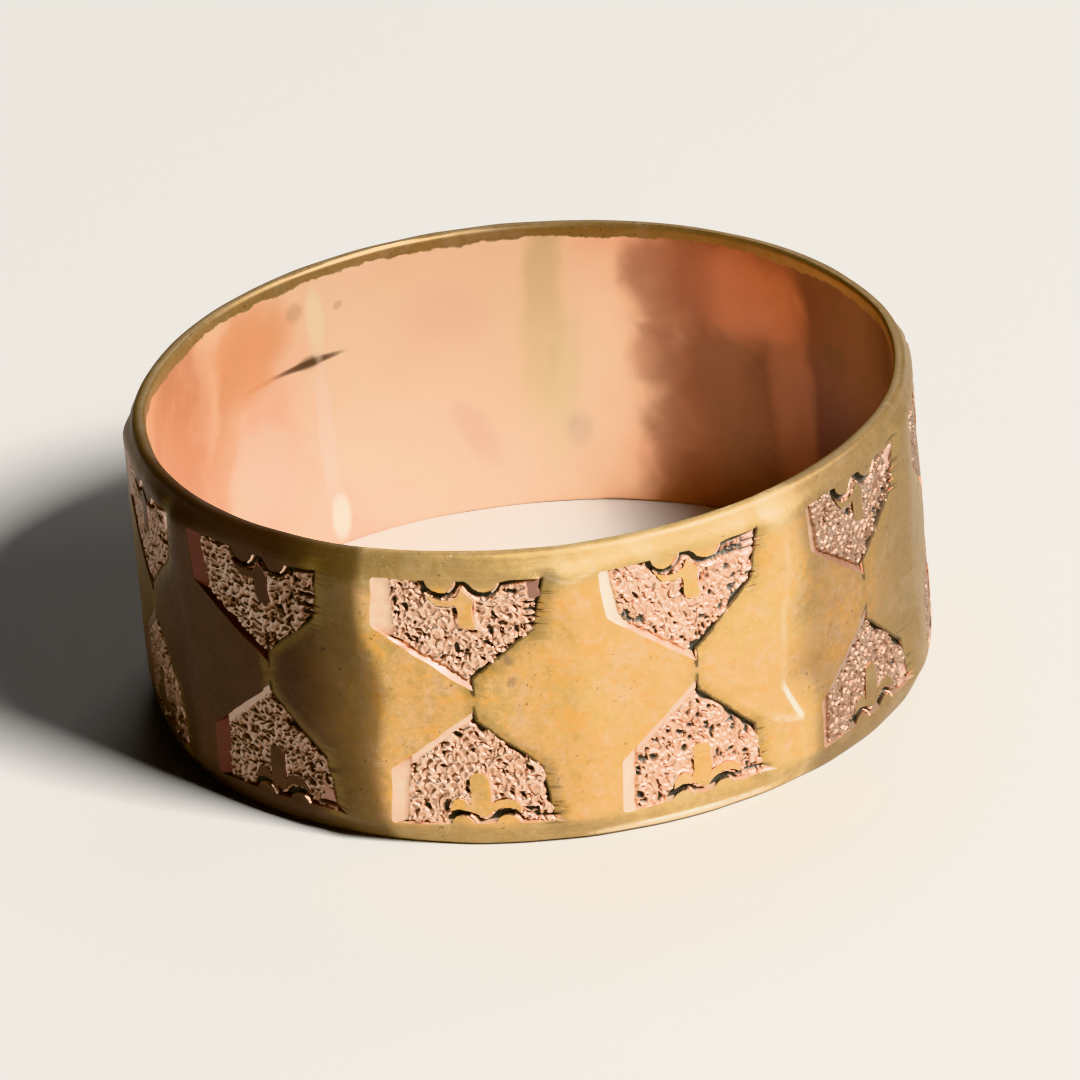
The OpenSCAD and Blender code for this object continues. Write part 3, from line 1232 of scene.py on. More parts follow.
    def painted_highlight_lines(self, colour: Val, blotch: Val, grain: Val) -> Val:
        """Paints highlights along the crease, the burr and the lower rim, each with a soft halo and a broken
        white core.

        Args:
            colour: the colour so far.
            blotch: noise that makes the lines unsteady.
            grain: finer noise that breaks them up.

        Returns:
            The colour with the lines.
        """
        for line, core, halo in (("crease", 0.040, 0.17), ("burr", 0.045, 0.20), ("rim", 0.024, 0.11)):
            away = self.attribute(line + "_side").size() + (blotch - 0.5) * 0.05
            glint = self.attribute(line + "_glint")
            broken_core = (glint + (blotch - 0.5) * 0.9 + (grain - 0.5) * 0.6).step(0.55, 1.0)
            colour = self.mix(away.step(halo, 0.0) * glint * 0.42, colour, HIGHLIGHT_HALO)
            wide = away - glint * core * 0.8
            colour = self.mix(wide.step(core * 1.8, core * 0.4) * broken_core * 0.9, colour, HIGHLIGHT_CORE)
        return colour

    def darkened_by_steep_edges(self, colour: Val) -> tuple[Val, Val]:
        """Darkens the skin along the steep edges of the wings and along the strokes that ran past them.

        Args:
            colour: the colour so far.

        Returns:
            The darkened colour, and how strongly it was darkened.
        """
        steep, top = self.attribute("steep"), self.attribute("top_edge")
        ragged = self.noise(0.15, 3, 0.65) - 0.5
        smear = self.noise(0.09, 2, 0.5, self.stretched(1.5, 0.09))
        thin = (steep + ragged * 0.09).step(0.085, 0.02).atleast((top + ragged * 0.08).step(0.07, 0.01))
        streak = smear.step(0.53, 0.66) * (top + ragged * 0.3).step(0.50, 0.02)
        broad = (steep + ragged * 0.40).step(0.40, 0.0) * 0.65
        dragged = (top + (smear - 0.5) * 0.5 + ragged * 0.2).step(0.50, 0.0) * 0.85
        shade = thin.atleast(streak * 0.85)
        brown = self.mix(broad.atleast(dragged) * 0.75, colour, EDGE_BROWN)
        return self.mix(shade * 0.85, brown, EDGE_BLACK), shade

    def build(self) -> None:
        """Adds the nodes of the skin."""
        colour, rough, relief = self.skin()
        self.blots = self.noise(0.07, 3, 0.7, warp=0.5)
        for bruise in BRUISES:
            colour = self.mix(self.mark(bruise, BAND.facet_r), colour, bruise.colour)
        normal = self.bump(relief, 0.009, 0.7)
        self.surface(colour, rough, 0.80, normal, Coat_Weight=0.22, Coat_Roughness=0.34)


class RoseSlope(Finish):
    """Bright rose gold of the slopes that the graver left smooth."""

    name = "rose_slope"

    def build(self) -> None:
        """Adds the nodes of the slopes."""
        patchy = self.noise(0.35, 3, 0.6)
        roses = [(0.30, (0.97, 0.63, 0.44)), (0.50, (1.0, 0.71, 0.51)), (0.72, (1.0, 0.78, 0.58))]
        # Painted shade, darker and pinker, on the wings' lower slopes
        colour = self.darken("edge_cut", self.ramp(patchy, roses), (0.88, 0.76, 0.75))
        # Painted highlight on the heel slopes of the second facet
        colour = self.mix(self.attribute("sheen"), colour, (1.0, 0.90, 0.74))
        # Painted shade, partly grime, on the facets beyond the two lit clean ones
        grimy_and_shaded = self.darken("grime", colour, (0.14, 0.085, 0.095))
        # Darker towards the foot of the slope
        foot = self.attribute("depth").step(0.80, 1.0)
        darker_at_foot = self.mix(foot * self.noise(0.12, 2).step(0.45, 0.65) * 0.5, grimy_and_shaded, (0.40, 0.22, 0.16))
        rough = 0.40 + (patchy - 0.5) * 0.15
        self.surface(darker_at_foot, rough, 0.72, self.bump(patchy, 0.010, 0.5))


class CutWall(Finish):
    """Rose gold of the steep cuts, bright at the lip and black further down, with oxide and painted shade."""

    name = "cut_wall"

    def build(self) -> None:
        """Adds the nodes of the walls."""
        patchy = self.noise(0.10, 2, 0.6)
        depth = self.attribute("depth") + (patchy - 0.5) * 0.5
        tones = [
            (0.0, (0.90, 0.66, 0.50)),
            (0.30, (0.62, 0.36, 0.25)),
            (0.55, (0.13, 0.11, 0.085)),
            (1.0, (0.065, 0.064, 0.052)),
        ]
        colour = self.ramp(depth, tones)
        metal = 0.9 - depth.step(0.35, 0.8) * 0.5
        self.surface(colour, 0.34 + depth.step(0.3, 0.8) * 0.3, metal, self.bump(patchy, 0.01, 0.7))


class MattedRose(Finish):
    """Stippled rose gold: pale worn ridges, brown flanks, black oxide in the pits, and painted shadows where
    the ground sinks beside ridges and against the steep cuts.
    """

    name = "matted_rose"

    def build(self) -> None:
        """Adds the nodes of the ground."""
        grain = self.noise(0.045, 3, 0.65)
        tone = self.noise(0.55, 2, 0.5)
        height = self.attribute("relief") + (grain - 0.5) * 0.12
        # Low heights go dark: oxide in the pits, and painted shadow in the sunk crescents and against the
        # steep cuts
        tones = [
            (0.14, (0.105, 0.104, 0.088)),
            (0.30, (0.22, 0.16, 0.13)),
            (0.48, (0.60, 0.37, 0.26)),
            (0.68, (0.82, 0.54, 0.385)),
            (0.83, (0.97, 0.68, 0.51)),
            (0.95, (1.0, 0.76, 0.60)),
        ]
        colour = self.ramp(height, tones)
        toned = self.mix(tone.step(0.40, 0.70) * 0.25, colour, (0.80, 0.58, 0.48), "MULTIPLY")
        # Painted shade, partly grime, on the facets beyond the two lit clean ones
        toned = self.darken("grime", toned, (0.46, 0.45, 0.45))
        pale = self.mix(self.noise(0.2, 2).step(0.35, 0.65), (0.52, 0.30, 0.24), (0.86, 0.62, 0.50))
        patch = self.mix(self.attribute("dark_patch"), pale, (0.40, 0.23, 0.18))
        patched = self.mix(self.attribute("smooth"), toned, patch)
        metal = 0.25 + self.attribute("relief").step(0.25, 0.5) * 0.68
        rough = 0.64 - self.attribute("relief").step(0.3, 0.9) * 0.24
        self.surface(patched, rough, metal, self.bump(grain, 0.008, 0.5))


@dataclass(frozen=True)
class SurfaceMark:
    """A mark on the band, by its angle in degrees, and its height and half its sizes in millimetres.

    The angle is counted round the finger hole from +X, as seen from above, and the tilt is in radians.
    Ragged says how far the edge is broken up, and soft how gently it fades.
    """

    angle: float
    height: float
    wide: float
    tall: float
    colour: Colour
    strength: float
    ragged: float = 0.8
    tilt: float = 0.0
    soft: float = 0.65


# Marks of the inside: the light middle is a painted reflection, the two broad dark ones beside it are painted
# shade and dark reflection, and the smaller ones are stains
STAINS_AND_REFLECTIONS = (
    SurfaceMark(110, 3.7, 4.4, 4.8, (1.0, 0.72, 0.49), 0.80, 0.7),
    SurfaceMark(58, 3.4, 3.3, 9.0, (0.15, 0.065, 0.045), 0.91, 0.35),
    SurfaceMark(33, 3.6, 3.8, 9.0, (0.085, 0.03, 0.024), 0.95, 0.4),
    SurfaceMark(63, 5.9, 1.5, 1.1, (0.55, 0.23, 0.14), 0.62, 1.2, 0.0, 0.95),
    SurfaceMark(76, 5.9, 1.2, 1.5, (0.28, 0.12, 0.08), 0.62, 0.8),
    SurfaceMark(79, 3.9, 0.8, 0.8, (0.30, 0.14, 0.09), 0.55, 0.7),
    SurfaceMark(76, 1.4, 1.1, 1.7, (0.30, 0.13, 0.085), 0.60, 0.8),
    SurfaceMark(54, 3.6, 0.7, 3.6, (0.36, 0.16, 0.10), 0.45, 0.9),
    SurfaceMark(97.4, 5.0, 0.50, 2.6, (0.66, 0.52, 0.29), 0.72, 0.7, 0.12, 0.9),
    SurfaceMark(95.2, 3.0, 0.42, 1.9, (0.62, 0.52, 0.31), 0.65, 0.7, 0.16, 0.9),
    SurfaceMark(93, 1.9, 0.34, 0.5, (0.42, 0.34, 0.27), 0.55, 0.9, 0.2, 0.95),
    SurfaceMark(109.0, 2.0, 0.36, 0.95, (0.70, 0.42, 0.33), 0.6, 0.8, -0.45, 0.95),
    SurfaceMark(113, 5.2, 1.0, 0.8, (0.90, 0.54, 0.42), 0.35, 0.6, 0.4, 0.95),
    SurfaceMark(144, 4.97, 0.9, 0.07, (0.40, 0.20, 0.13), 0.55, 0.7, -0.03),
    SurfaceMark(136.6, 4.98, 0.92, 0.095, (0.09, 0.055, 0.04), 0.9, 0.3, 0.0, 0.8),
    SurfaceMark(136.4, 5.0, 0.40, 0.17, (0.13, 0.08, 0.055), 0.75, 0.6, 0.0, 0.9),
    SurfaceMark(138.2, 6.40, 0.24, 0.24, (0.44, 0.28, 0.16), 0.55, 1.2, 0.5, 0.95),
    SurfaceMark(130.2, 6.2, 0.13, 0.09, (0.42, 0.27, 0.17), 0.45, 0.9, -0.4),
    SurfaceMark(149, 5.9, 1.3, 1.1, (0.76, 0.33, 0.15), 0.75, 0.9, -0.3, 0.9),
    SurfaceMark(155, 4.4, 0.5, 2.0, (0.72, 0.36, 0.20), 0.55, 0.8, 0.35),
    SurfaceMark(143, 3.4, 1.2, 0.12, (0.80, 0.50, 0.38), 0.5, 0.7, 0.35),
    SurfaceMark(147, 2.7, 1.0, 1.2, (0.86, 0.60, 0.46), 0.5, 0.7),
    SurfaceMark(173, 3.8, 2.3, 5.0, (0.38, 0.17, 0.10), 0.88, 0.9, 0.0, 0.9),
    SurfaceMark(162, 2.2, 0.7, 1.8, (0.62, 0.31, 0.19), 0.65, 0.9, 0.3, 0.9),
    SurfaceMark(43, 5.1, 0.5, 0.35, (0.05, 0.03, 0.025), 0.55),
    SurfaceMark(-55, 2.6, 2.4, 2.2, (0.55, 0.30, 0.19), 0.4, 1.6, 0.4, 0.95),
    SurfaceMark(-112, 4.8, 3.0, 1.6, (0.60, 0.34, 0.21), 0.35, 1.6, -0.3, 0.95),
)
# Painted highlights on the inside, beside the old scratch, where the metal is also made glossier
INSIDE_HIGHLIGHTS = (
    SurfaceMark(134.6, 6.0, 0.24, 0.9, (1.0, 0.82, 0.55), 0.80, 0.6),
    SurfaceMark(134.4, 2.9, 0.22, 1.9, (1.0, 0.74, 0.58), 0.6, 0.5),
    SurfaceMark(133.2, 0.75, 0.26, 0.60, (1.0, 0.92, 0.74), 1.0, 0.4),
)
# Mauve spots on the outside, beside the first upper wing
BRUISES = (
    SurfaceMark(-83.3, 4.73, 0.08, 0.13, (0.34, 0.22, 0.16), 0.55, 2.6, 0.4, 0.9),
    SurfaceMark(-83.0, 4.20, 0.09, 0.15, (0.34, 0.22, 0.16), 0.55, 2.6, -0.5, 0.9),
    SurfaceMark(-50.5, 3.55, 0.07, 0.07, (0.34, 0.20, 0.14), 0.50, 1.2, 0.0, 0.95),
)


class RoseInside(YellowSkin):
    """Smooth rose gold of the finger hole, stained with use and painted with reflections, shade and
    highlights, with the yellow skin lapping over its mouth.
    """

    name = "rose_inside"

    def build(self) -> None:
        """Adds the nodes of the inside."""
        broad = self.noise(2.6, 2, 0.5)
        cloudy = self.noise(1.1, 2, 0.5, warp=0.5)
        grain = self.noise(0.12, 3, 0.6)
        self.blots = self.noise(1.0, 2, 0.5, warp=0.3)
        roses = [(0.3, (0.97, 0.52, 0.33)), (0.5, (1.0, 0.61, 0.40)), (0.72, (1.0, 0.68, 0.44))]
        colour = self.ramp(broad, roses)
        colour = self.mix(cloudy.step(0.5, 0.75) * 0.30, colour, (0.93, 0.50, 0.35))
        for surface_mark in STAINS_AND_REFLECTIONS + INSIDE_HIGHLIGHTS:
            colour = self.mix(self.mark(surface_mark), colour, surface_mark.colour)
        skin = self.skin()[0]
        lap = (self.attribute("mouth") + (self.noise(0.9, 4, 0.65) - 0.5) * 0.9).step(0.44, 0.56)
        both = self.mix(lap, colour, skin)
        lines = self.noise(0.08, 2, 0.5, self.stretched(3.0, 0.08))
        # Glossier under the painted highlights
        under_highlight = self.mark(INSIDE_HIGHLIGHTS[0]).atleast(self.mark(INSIDE_HIGHLIGHTS[2]))
        rough = 0.30 + (cloudy - 0.5) * 0.10 + lap * 0.12 - under_highlight * 0.08
        self.surface(both, rough, 0.62, self.bump(grain * 0.15 + lines * 0.3 + cloudy * 1.5, 0.008, 0.5))


class PaleFloor(Finish):
    """Matt pale studio floor with a faint tooth."""

    name = "pale_floor"

    def build(self) -> None:
        """Adds the nodes of the floor."""
        cloud = self.noise(30, 2, 0.5)
        tooth = self.noise(0.5, 3, 0.6)
        colour = self.mix(cloud, (0.51, 0.505, 0.495), (0.54, 0.535, 0.525))
        self.surface(colour, 0.75, 0.0, self.bump(tooth, 0.02, 0.3))


# Band


# How near a point has to be to a level to lie in it, in millimetres
AT_LEVEL = 1e-4
# The band's materials, in the order of its slots
SKIN, SLOPE, WALL, INSIDE = range(4)


@dataclass
class Band:
    """The ring itself: one closed mesh with its facets, rims, creases and the pockets of all wings."""

    wings: dict[tuple[int, Side], WingShape]
    # Parts of a facet round the band, of its outside and its inside across it, and of each rounded edge
    columns: int = 52
    outer_rows: int = 71
    inner_rows: int = 28
    round_steps: int = 5
    # How much of the painted shade on a wing's lower slope the second facet gets
    paler_edge: float = 0.45
    # How deep the skin is worn down beside a steep edge, and how far from it
    worn_depth: float = 0.050
    worn_reach: float = 0.24
    # Points closer than this, in metres, are made one where the facets meet
    seam: float = 2e-6
    # Angle from which an edge looks sharp
    sharp: float = math.radians(24)

    def blank(self) -> bpy.types.Object:
        """Models one flat facet without its wings: the band's section, drawn out along the facet.

        Returns:
            The piece, in millimetres.
        """
        deselect()
        place = (-BAND.facet_l / 2, 0, -BAND.wall / 2)
        bpy.ops.mesh.primitive_plane_add(size=1, rotation=(0, math.pi / 2, 0), location=place)
        piece = bpy.context.object
        piece.scale = (BAND.wall, BAND.width, 1)
        bpy.ops.object.transform_apply(location=True, rotation=True, scale=True)
        for outer, offset in ((True, BAND.round_out), (False, BAND.round_in)):
            z = points_of(piece)[:, 2]
            select_where(piece, "vertices", (z > -0.001) if outer else (z < -BAND.wall + 0.001))
            with editing("VERT"):
                bpy.ops.mesh.bevel(offset=offset, segments=self.round_steps, affect="VERTICES")
        for outer, rows in ((True, self.outer_rows), (False, self.inner_rows)):
            self.select_edges(piece, lambda a, b, up=outer: self.is_flat_edge(a, b, up))
            with editing("EDGE"):
                bpy.ops.mesh.subdivide(number_cuts=rows - 1)
        with editing("FACE"):
            bpy.ops.mesh.select_all(action="SELECT")
            bpy.ops.mesh.extrude_region_move(TRANSFORM_OT_translate={"value": (BAND.facet_l, 0, 0)})
        self.select_edges(piece, lambda a, b: abs(a[0] - b[0]) > BAND.facet_l / 2)
        with editing("EDGE"):
            bpy.ops.mesh.subdivide(number_cuts=self.columns - 1)
        face_outward(piece)
        return piece

    @staticmethod
    def is_flat_edge(a: np.ndarray, b: np.ndarray, outer: bool) -> bool:
        """Tells whether an edge from a to b is the section's long one on the outside, or on the inside."""
        level = 0.0 if outer else -BAND.wall
        return abs(a[2] - level) < AT_LEVEL and abs(b[2] - level) < AT_LEVEL and abs(a[1] - b[1]) > 1

    @staticmethod
    def select_edges(piece: bpy.types.Object, wanted: Callable[[np.ndarray, np.ndarray], bool]) -> None:
        """Selects edges of a piece.

        Args:
            piece: the piece.
            wanted: tells from the two ends of an edge whether it is wanted.
        """
        points = points_of(piece)
        chosen = [bool(wanted(points[e.vertices[0]], points[e.vertices[1]])) for e in piece.data.edges]
        select_where(piece, "edges", np.array(chosen))

    def facet(self, blank: bpy.types.Object, number: int) -> bpy.types.Object:
        """Copies the blank and cuts the two wings of one facet into it.

        Args:
            blank: the flat facet without its wings.
            number: which facet it becomes, counted round the band from the front one.

        Returns:
            The facet, still flat, in its place on the strip and open at both ends.
        """
        piece = blank.copy()
        piece.data = blank.data.copy()
        bpy.context.collection.objects.link(piece)
        for side in Side:
            cutter = WingCutter(self.wings[number, side], side, self.seed(number, side))
            boolean(piece, cutter.build(), "DIFFERENCE")
        centres = np.array([f.center[:] for f in piece.data.polygons])
        select_where(piece, "polygons", np.abs(centres[:, 0]) > BAND.facet_l / 2 - AT_LEVEL)
        with editing("FACE"):
            bpy.ops.mesh.delete(type="FACE")
        points = points_of(piece)
        for name, values in self.near_wings(points, number).items():
            store(piece, name, values)
        points[:, 0] += number * BAND.facet_l
        place_points(piece, points)
        return piece

    def near_wings(self, points: np.ndarray, number: int) -> dict[str, np.ndarray]:
        """Works out what the wings of a facet do to the metal beside them.

        Args:
            points: points of the flat facet.
            number: which facet it is.

        Returns:
            By name: the distance from the steep edges and from the top edges, how much painted shade darkens
                the lower slope,
            and how far the skin is worn down.
        """
        steep, top = np.full(len(points), SURFACE.far), np.full(len(points), SURFACE.far)
        sink, edge_cut = np.zeros(len(points)), np.zeros(len(points))
        for side in Side:
            wing = self.wings[number, side]
            x, y = points[:, 0], points[:, 1] * side.value
            tail, low, high = WingCutter(wing, side, self.seed(number, side)).steep_edges()
            by_low, by_high = distance_to_path(x, y, low), distance_to_path(x, y, high)
            steep = np.minimum.reduce([steep, by_low, distance_to_path(x, y, tail)])
            top = np.minimum(top, by_high)
            # Painted shade, darker and pinker, on the lower slope, weaker on the second facet
            (ex, ey), tip = wing.elbow, wing.tip
            pale_from = (ex + 0.3 * (tip[0] - ex), ey + 0.3 * (tip[1] - ey))
            by_edge = distance_to_path(x, y, [pale_from, tip])
            pale = self.paler_edge if number == 1 else 1.0
            edge_cut = np.maximum(edge_cut, pale * smoothstep(0.36, 0.26, by_edge))
            near = np.minimum(by_low, by_high)
            outside = (near < 0.05) | ~inside_path(x, y, wing.outline)
            outside &= (y > 0.05) & (x > wing.tip[0] - 0.3)
            worn = self.worn_depth * np.exp(-((near / self.worn_reach) ** 2))
            sink = np.maximum(sink, np.where(outside, worn, 0))
        return {"steep": steep, "top_edge": top, "edge_cut": edge_cut, "sink": sink}

    @staticmethod
    def seed(number: int, side: Side) -> int:
        """Returns the seed of one wing's unsteady strokes."""
        return 2 * (number % BAND.facets) + (side is Side.LOWER)

    def build(self) -> bpy.types.Object:
        """Joins the facets, wraps them round the finger hole and dresses the band.

        Returns:
            The band, in metres and in its place.
        """
        blank = self.blank()
        half = BAND.facets // 2
        cells = [self.facet(blank, number) for number in range(-half, half + 1)]
        bpy.data.objects.remove(blank)
        deselect()
        for cell in cells:
            cell.select_set(True)
        bpy.context.view_layer.objects.active = cells[0]
        bpy.ops.object.join()
        piece = bpy.context.object
        piece.name = piece.data.name = "worn_band"
        flat = points_of(piece)
        face = self.classify(piece)
        self.store_looks(piece, flat)
        sink = np.zeros(len(flat), np.float32)
        piece.data.attributes["sink"].data.foreach_get("value", sink)
        place_points(piece, SURFACE.wrap(flat, sink))
        for finish in (YellowSkin(), RoseSlope(), CutWall(), RoseInside()):
            piece.data.materials.append(finish.material)
        piece.data.polygons.foreach_set("material_index", face)
        piece.data.attributes.remove(piece.data.attributes["sink"])
        with editing("FACE"):
            bpy.ops.mesh.select_all(action="SELECT")
            bpy.ops.mesh.remove_doubles(threshold=self.seam)
        bpy.ops.object.shade_smooth_by_angle(angle=self.sharp)
        return piece

    @staticmethod
    def store_looks(piece: bpy.types.Object, flat: np.ndarray) -> None:
        """Stores for the materials where the metal is worn, cut deep, grimy and tarnished, and where
        highlights and shade are painted.

        Args:
            piece: the band.
            flat: its points on the flat strip.
        """
        x, y, z = flat.T
        store(piece, "wear", SURFACE.crease_wear_and_highlight(x, y) * (z > -0.01))
        for name, values in SURFACE.ridge_lines(x, y).items():
            store(piece, name, values)
        store(piece, "depth", np.clip(-z / BAND.cut_depth, 0, 1))
        # Painted highlight on the heel slopes of the second facet
        own_x = SURFACE.by_second_facet(x)
        on_heel = smoothstep(-1.35, -1.60, own_x) * smoothstep(-2.6, -2.3, own_x)
        store(piece, "sheen", on_heel * np.where(y > 0, 0.9, 0.45))
        # The next two are partly painted shade: the darkening and the dulling of the facets beyond the lit
        # clean ones
        store(piece, "grime", SURFACE.grime(x, y))
        store(piece, "tarnish", SURFACE.tarnish(x, y))
        edge = BAND.width / 2 - np.abs(y)
        store(piece, "mouth", (1 - smoothstep(0.0, 0.66, edge)) * np.where(y > 0, 1.0, 0.30))

    @staticmethod
    def classify(piece: bpy.types.Object) -> np.ndarray:
        """Chooses the material of each face while the strip is flat.

        Args:
            piece: the flat strip.

        Returns:
            The number of each face's material.
        """
        count = len(piece.data.polygons)
        centres, normals = np.empty(count * 3), np.empty(count * 3)
        piece.data.polygons.foreach_get("center", centres)
        piece.data.polygons.foreach_get("normal", normals)
        _, y, z = centres.reshape(-1, 3).T
        right, _, up = normals.reshape(-1, 3).T
        edge = BAND.width / 2 - np.abs(y)
        on_floor = z <= 0.005 - BAND.cut_depth
        below = z < -BAND.cut_depth - 0.01
        face = np.full(count, SKIN, np.int32)
        in_pocket = (z < -0.002) & (z > -BAND.cut_depth - 0.01) & (edge > BAND.round_out + 0.02)
        face[in_pocket & (up > 0.6)] = SLOPE
        face[in_pocket & ((up <= 0.6) | (z < 0.005 - BAND.cut_depth))] = WALL
        lit = (right > 0.25) | ((edge < 1.0) & (np.abs(right) < 0.3))
        face[in_pocket & (up > 0.2) & lit & ~on_floor] = SLOPE
        face[below & (edge > BAND.round_in + 0.001)] = INSIDE
        face[z < -BAND.wall + 0.08] = INSIDE
        return face


@dataclass
class WingCutter:
    """The tool that leaves one wing's pocket, with its lobes and anchor standing."""

    shape: WingShape
    side: Side
    seed: int
    # How high the cutter stands over the skin, and the height at which its walls begin to lean
    over: float = 0.12
    lip: float = 0.004
    # Distance between the points of an outline, and how far the hand strayed
    point_gap: float = 0.12
    shake: float = 0.024
    # A place past the rim's edge, where the lobes run out of the wing
    past_rim: float = 3.5
    # Top and foot of what is left standing, and how far the foot stands out on its right
    standing_top: float = 0.3
    standing_foot: float = -0.17
    lean: Point = (0.085, -0.01)

    def __post_init__(self) -> None:
        """Draws the unsteadiness of the hand and counts the points of each line."""
        self.hand = Swell(500 + self.seed, 0.33)
        self.counts = self.spaced(self.shape.outline, 1.0)

    def spaced(self, ring: list[Point], finer: float) -> list[int]:
        """Returns into how many parts each line of an outline is split, some times finer than usual."""
        lengths = [math.dist(a, b) for a, b in zip(ring, ring[1:] + ring[:1])]
        return [max(1, round(length / self.point_gap * finer)) for length in lengths]

    def steep_edges(self) -> tuple[list[Point], list[Point], list[Point]]:
        """Follows the steep edges of the wing.

        Returns:
            The cut past the tip, the edge from there to the shoulder, and the one on to the crest.
        """
        ring = self.dense(self.shape.outline, self.counts)
        first = self.counts[0]
        second = first + self.counts[1]
        third = second + self.counts[2]
        x, y = self.shape.tip
        tail = [(x + 0.01, y - 0.10), *ring[: first + 1]]
        return tail, ring[first : second + 1], ring[second : third + 1]

    def dense(self, ring: list[Point], counts: list[int]) -> list[Point]:
        """Splits each line of an outline and shakes the points as a hand would.

        Args:
            ring: corners of the outline.
            counts: number of parts of each line.

        Returns:
            The points of the outline.
        """
        points: list[Point] = []
        for (ax, ay), (bx, by), n in zip(ring, ring[1:] + ring[:1], counts):
            for k in range(n):
                points.append((ax + (bx - ax) * k / n, ay + (by - ay) * k / n))
        px, py = np.array(points).T
        dx, dy = self.hand.at(px, py), self.hand.at(px + 17, py + 9)
        return [(float(a), float(b)) for a, b in zip(px + self.shake * dx, py + self.shake * dy)]

    def build(self) -> bpy.types.Object:
        """Models the cutter for the flat facet.

        Returns:
            The cutter, in millimetres.
        """
        top = self.dense(self.shape.outline, self.counts)
        floor = self.dense(self.shape.floor_outline, self.counts)
        piece = prism("wing_cutter", [top, top, floor], [self.over, self.lip, -BAND.cut_depth])
        wave = self.shape.wave
        lobes = [(wave[0][0], self.past_rim), *wave, (wave[-1][0], self.past_rim)]
        anchor = [(x + self.shape.anchor_shift, y) for x, y in self.shape.anchor]
        for name, outline in (("lobes", lobes), ("anchor", anchor)):
            boolean(piece, self.standing(name, outline), "DIFFERENCE")
        for tool in self.spurs():
            boolean(piece, tool, "UNION")
        if self.side is Side.LOWER:
            take(piece)
            piece.scale = (1, -1, 1)
            bpy.ops.object.transform_apply(location=True, rotation=True, scale=True)
            face_outward(piece)
        return piece

    def standing(self, name: str, outline: list[Point]) -> bpy.types.Object:
        """Models skin that is left standing in the wing, whose right sides lean out towards the floor.

        Args:
            name: name of the piece.
            outline: corners of its outline at the surface.

        Returns:
            The piece, in millimetres.
        """
        ring = self.dense(outline, self.spaced(outline, 1.5))
        foot = [(x + self.lean[0], y + self.lean[1]) for x, y in ring]
        return prism(name, [ring, ring, foot], [self.standing_top, self.lip, self.standing_foot])

    def spurs(self) -> list[bpy.types.Object]:
        """Models the narrow strokes that ran past the top edge of the wing, each shallower towards its end.

        Returns:
            The strokes' own cutters, in millimetres.
        """
        s = self.shape
        rng = np.random.default_rng(900 + self.seed)
        made = []
        for k, y in enumerate(s.streaks):
            share = (y - s.shoulder[1]) / (s.crest[1] - s.shoulder[1])
            edge_x = s.shoulder[0] + share * (s.crest[0] - s.shoulder[0])
            length, half = float(rng.uniform(0.12, 0.27)), float(rng.uniform(0.034, 0.055))
            start, lean = edge_x - 0.12, float(rng.normal(0, 0.02))
            end = min(edge_x + length, BAND.facet_l / 2 - 0.06)
            deep = start + 0.16
            top = [(start, y - half), (end, y - 0.006 + lean), (end, y + 0.006 + lean), (start, y + half)]
            low = [(start, y - half * 0.4), (deep, y), (deep, y + 0.006), (start, y + half * 0.4)]
            # Each stroke has levels of its own, so that no two cutters share a plane
            levels = [self.over - 0.007 * (k + 1), 0.006 + 0.001 * k, -BAND.cut_depth * (0.93 - 0.03 * k)]
            made.append(prism("spur", [top, top, low], levels))
        if s.sliver:
            x, y = s.crest
            start, end = (x - 0.5, y - 0.10), (x + s.sliver, y + 0.05)
            top = [start, (x, y - 0.16), end, (x, y + 0.02)]
            low = [start, (x - 0.1, y - 0.09), (x, y - 0.04), (x - 0.1, y - 0.01)]
            made.append(prism("sliver", [top, top, low], [self.over * 0.6, 0.013, -BAND.cut_depth * 0.7]))
        return made


# Matted ground


def towards(height: np.ndarray, level: float | np.ndarray, share: np.ndarray) -> np.ndarray:
    """Moves heights towards a level, by the share from 0 to 1."""
    return height * (1 - share) + level * share


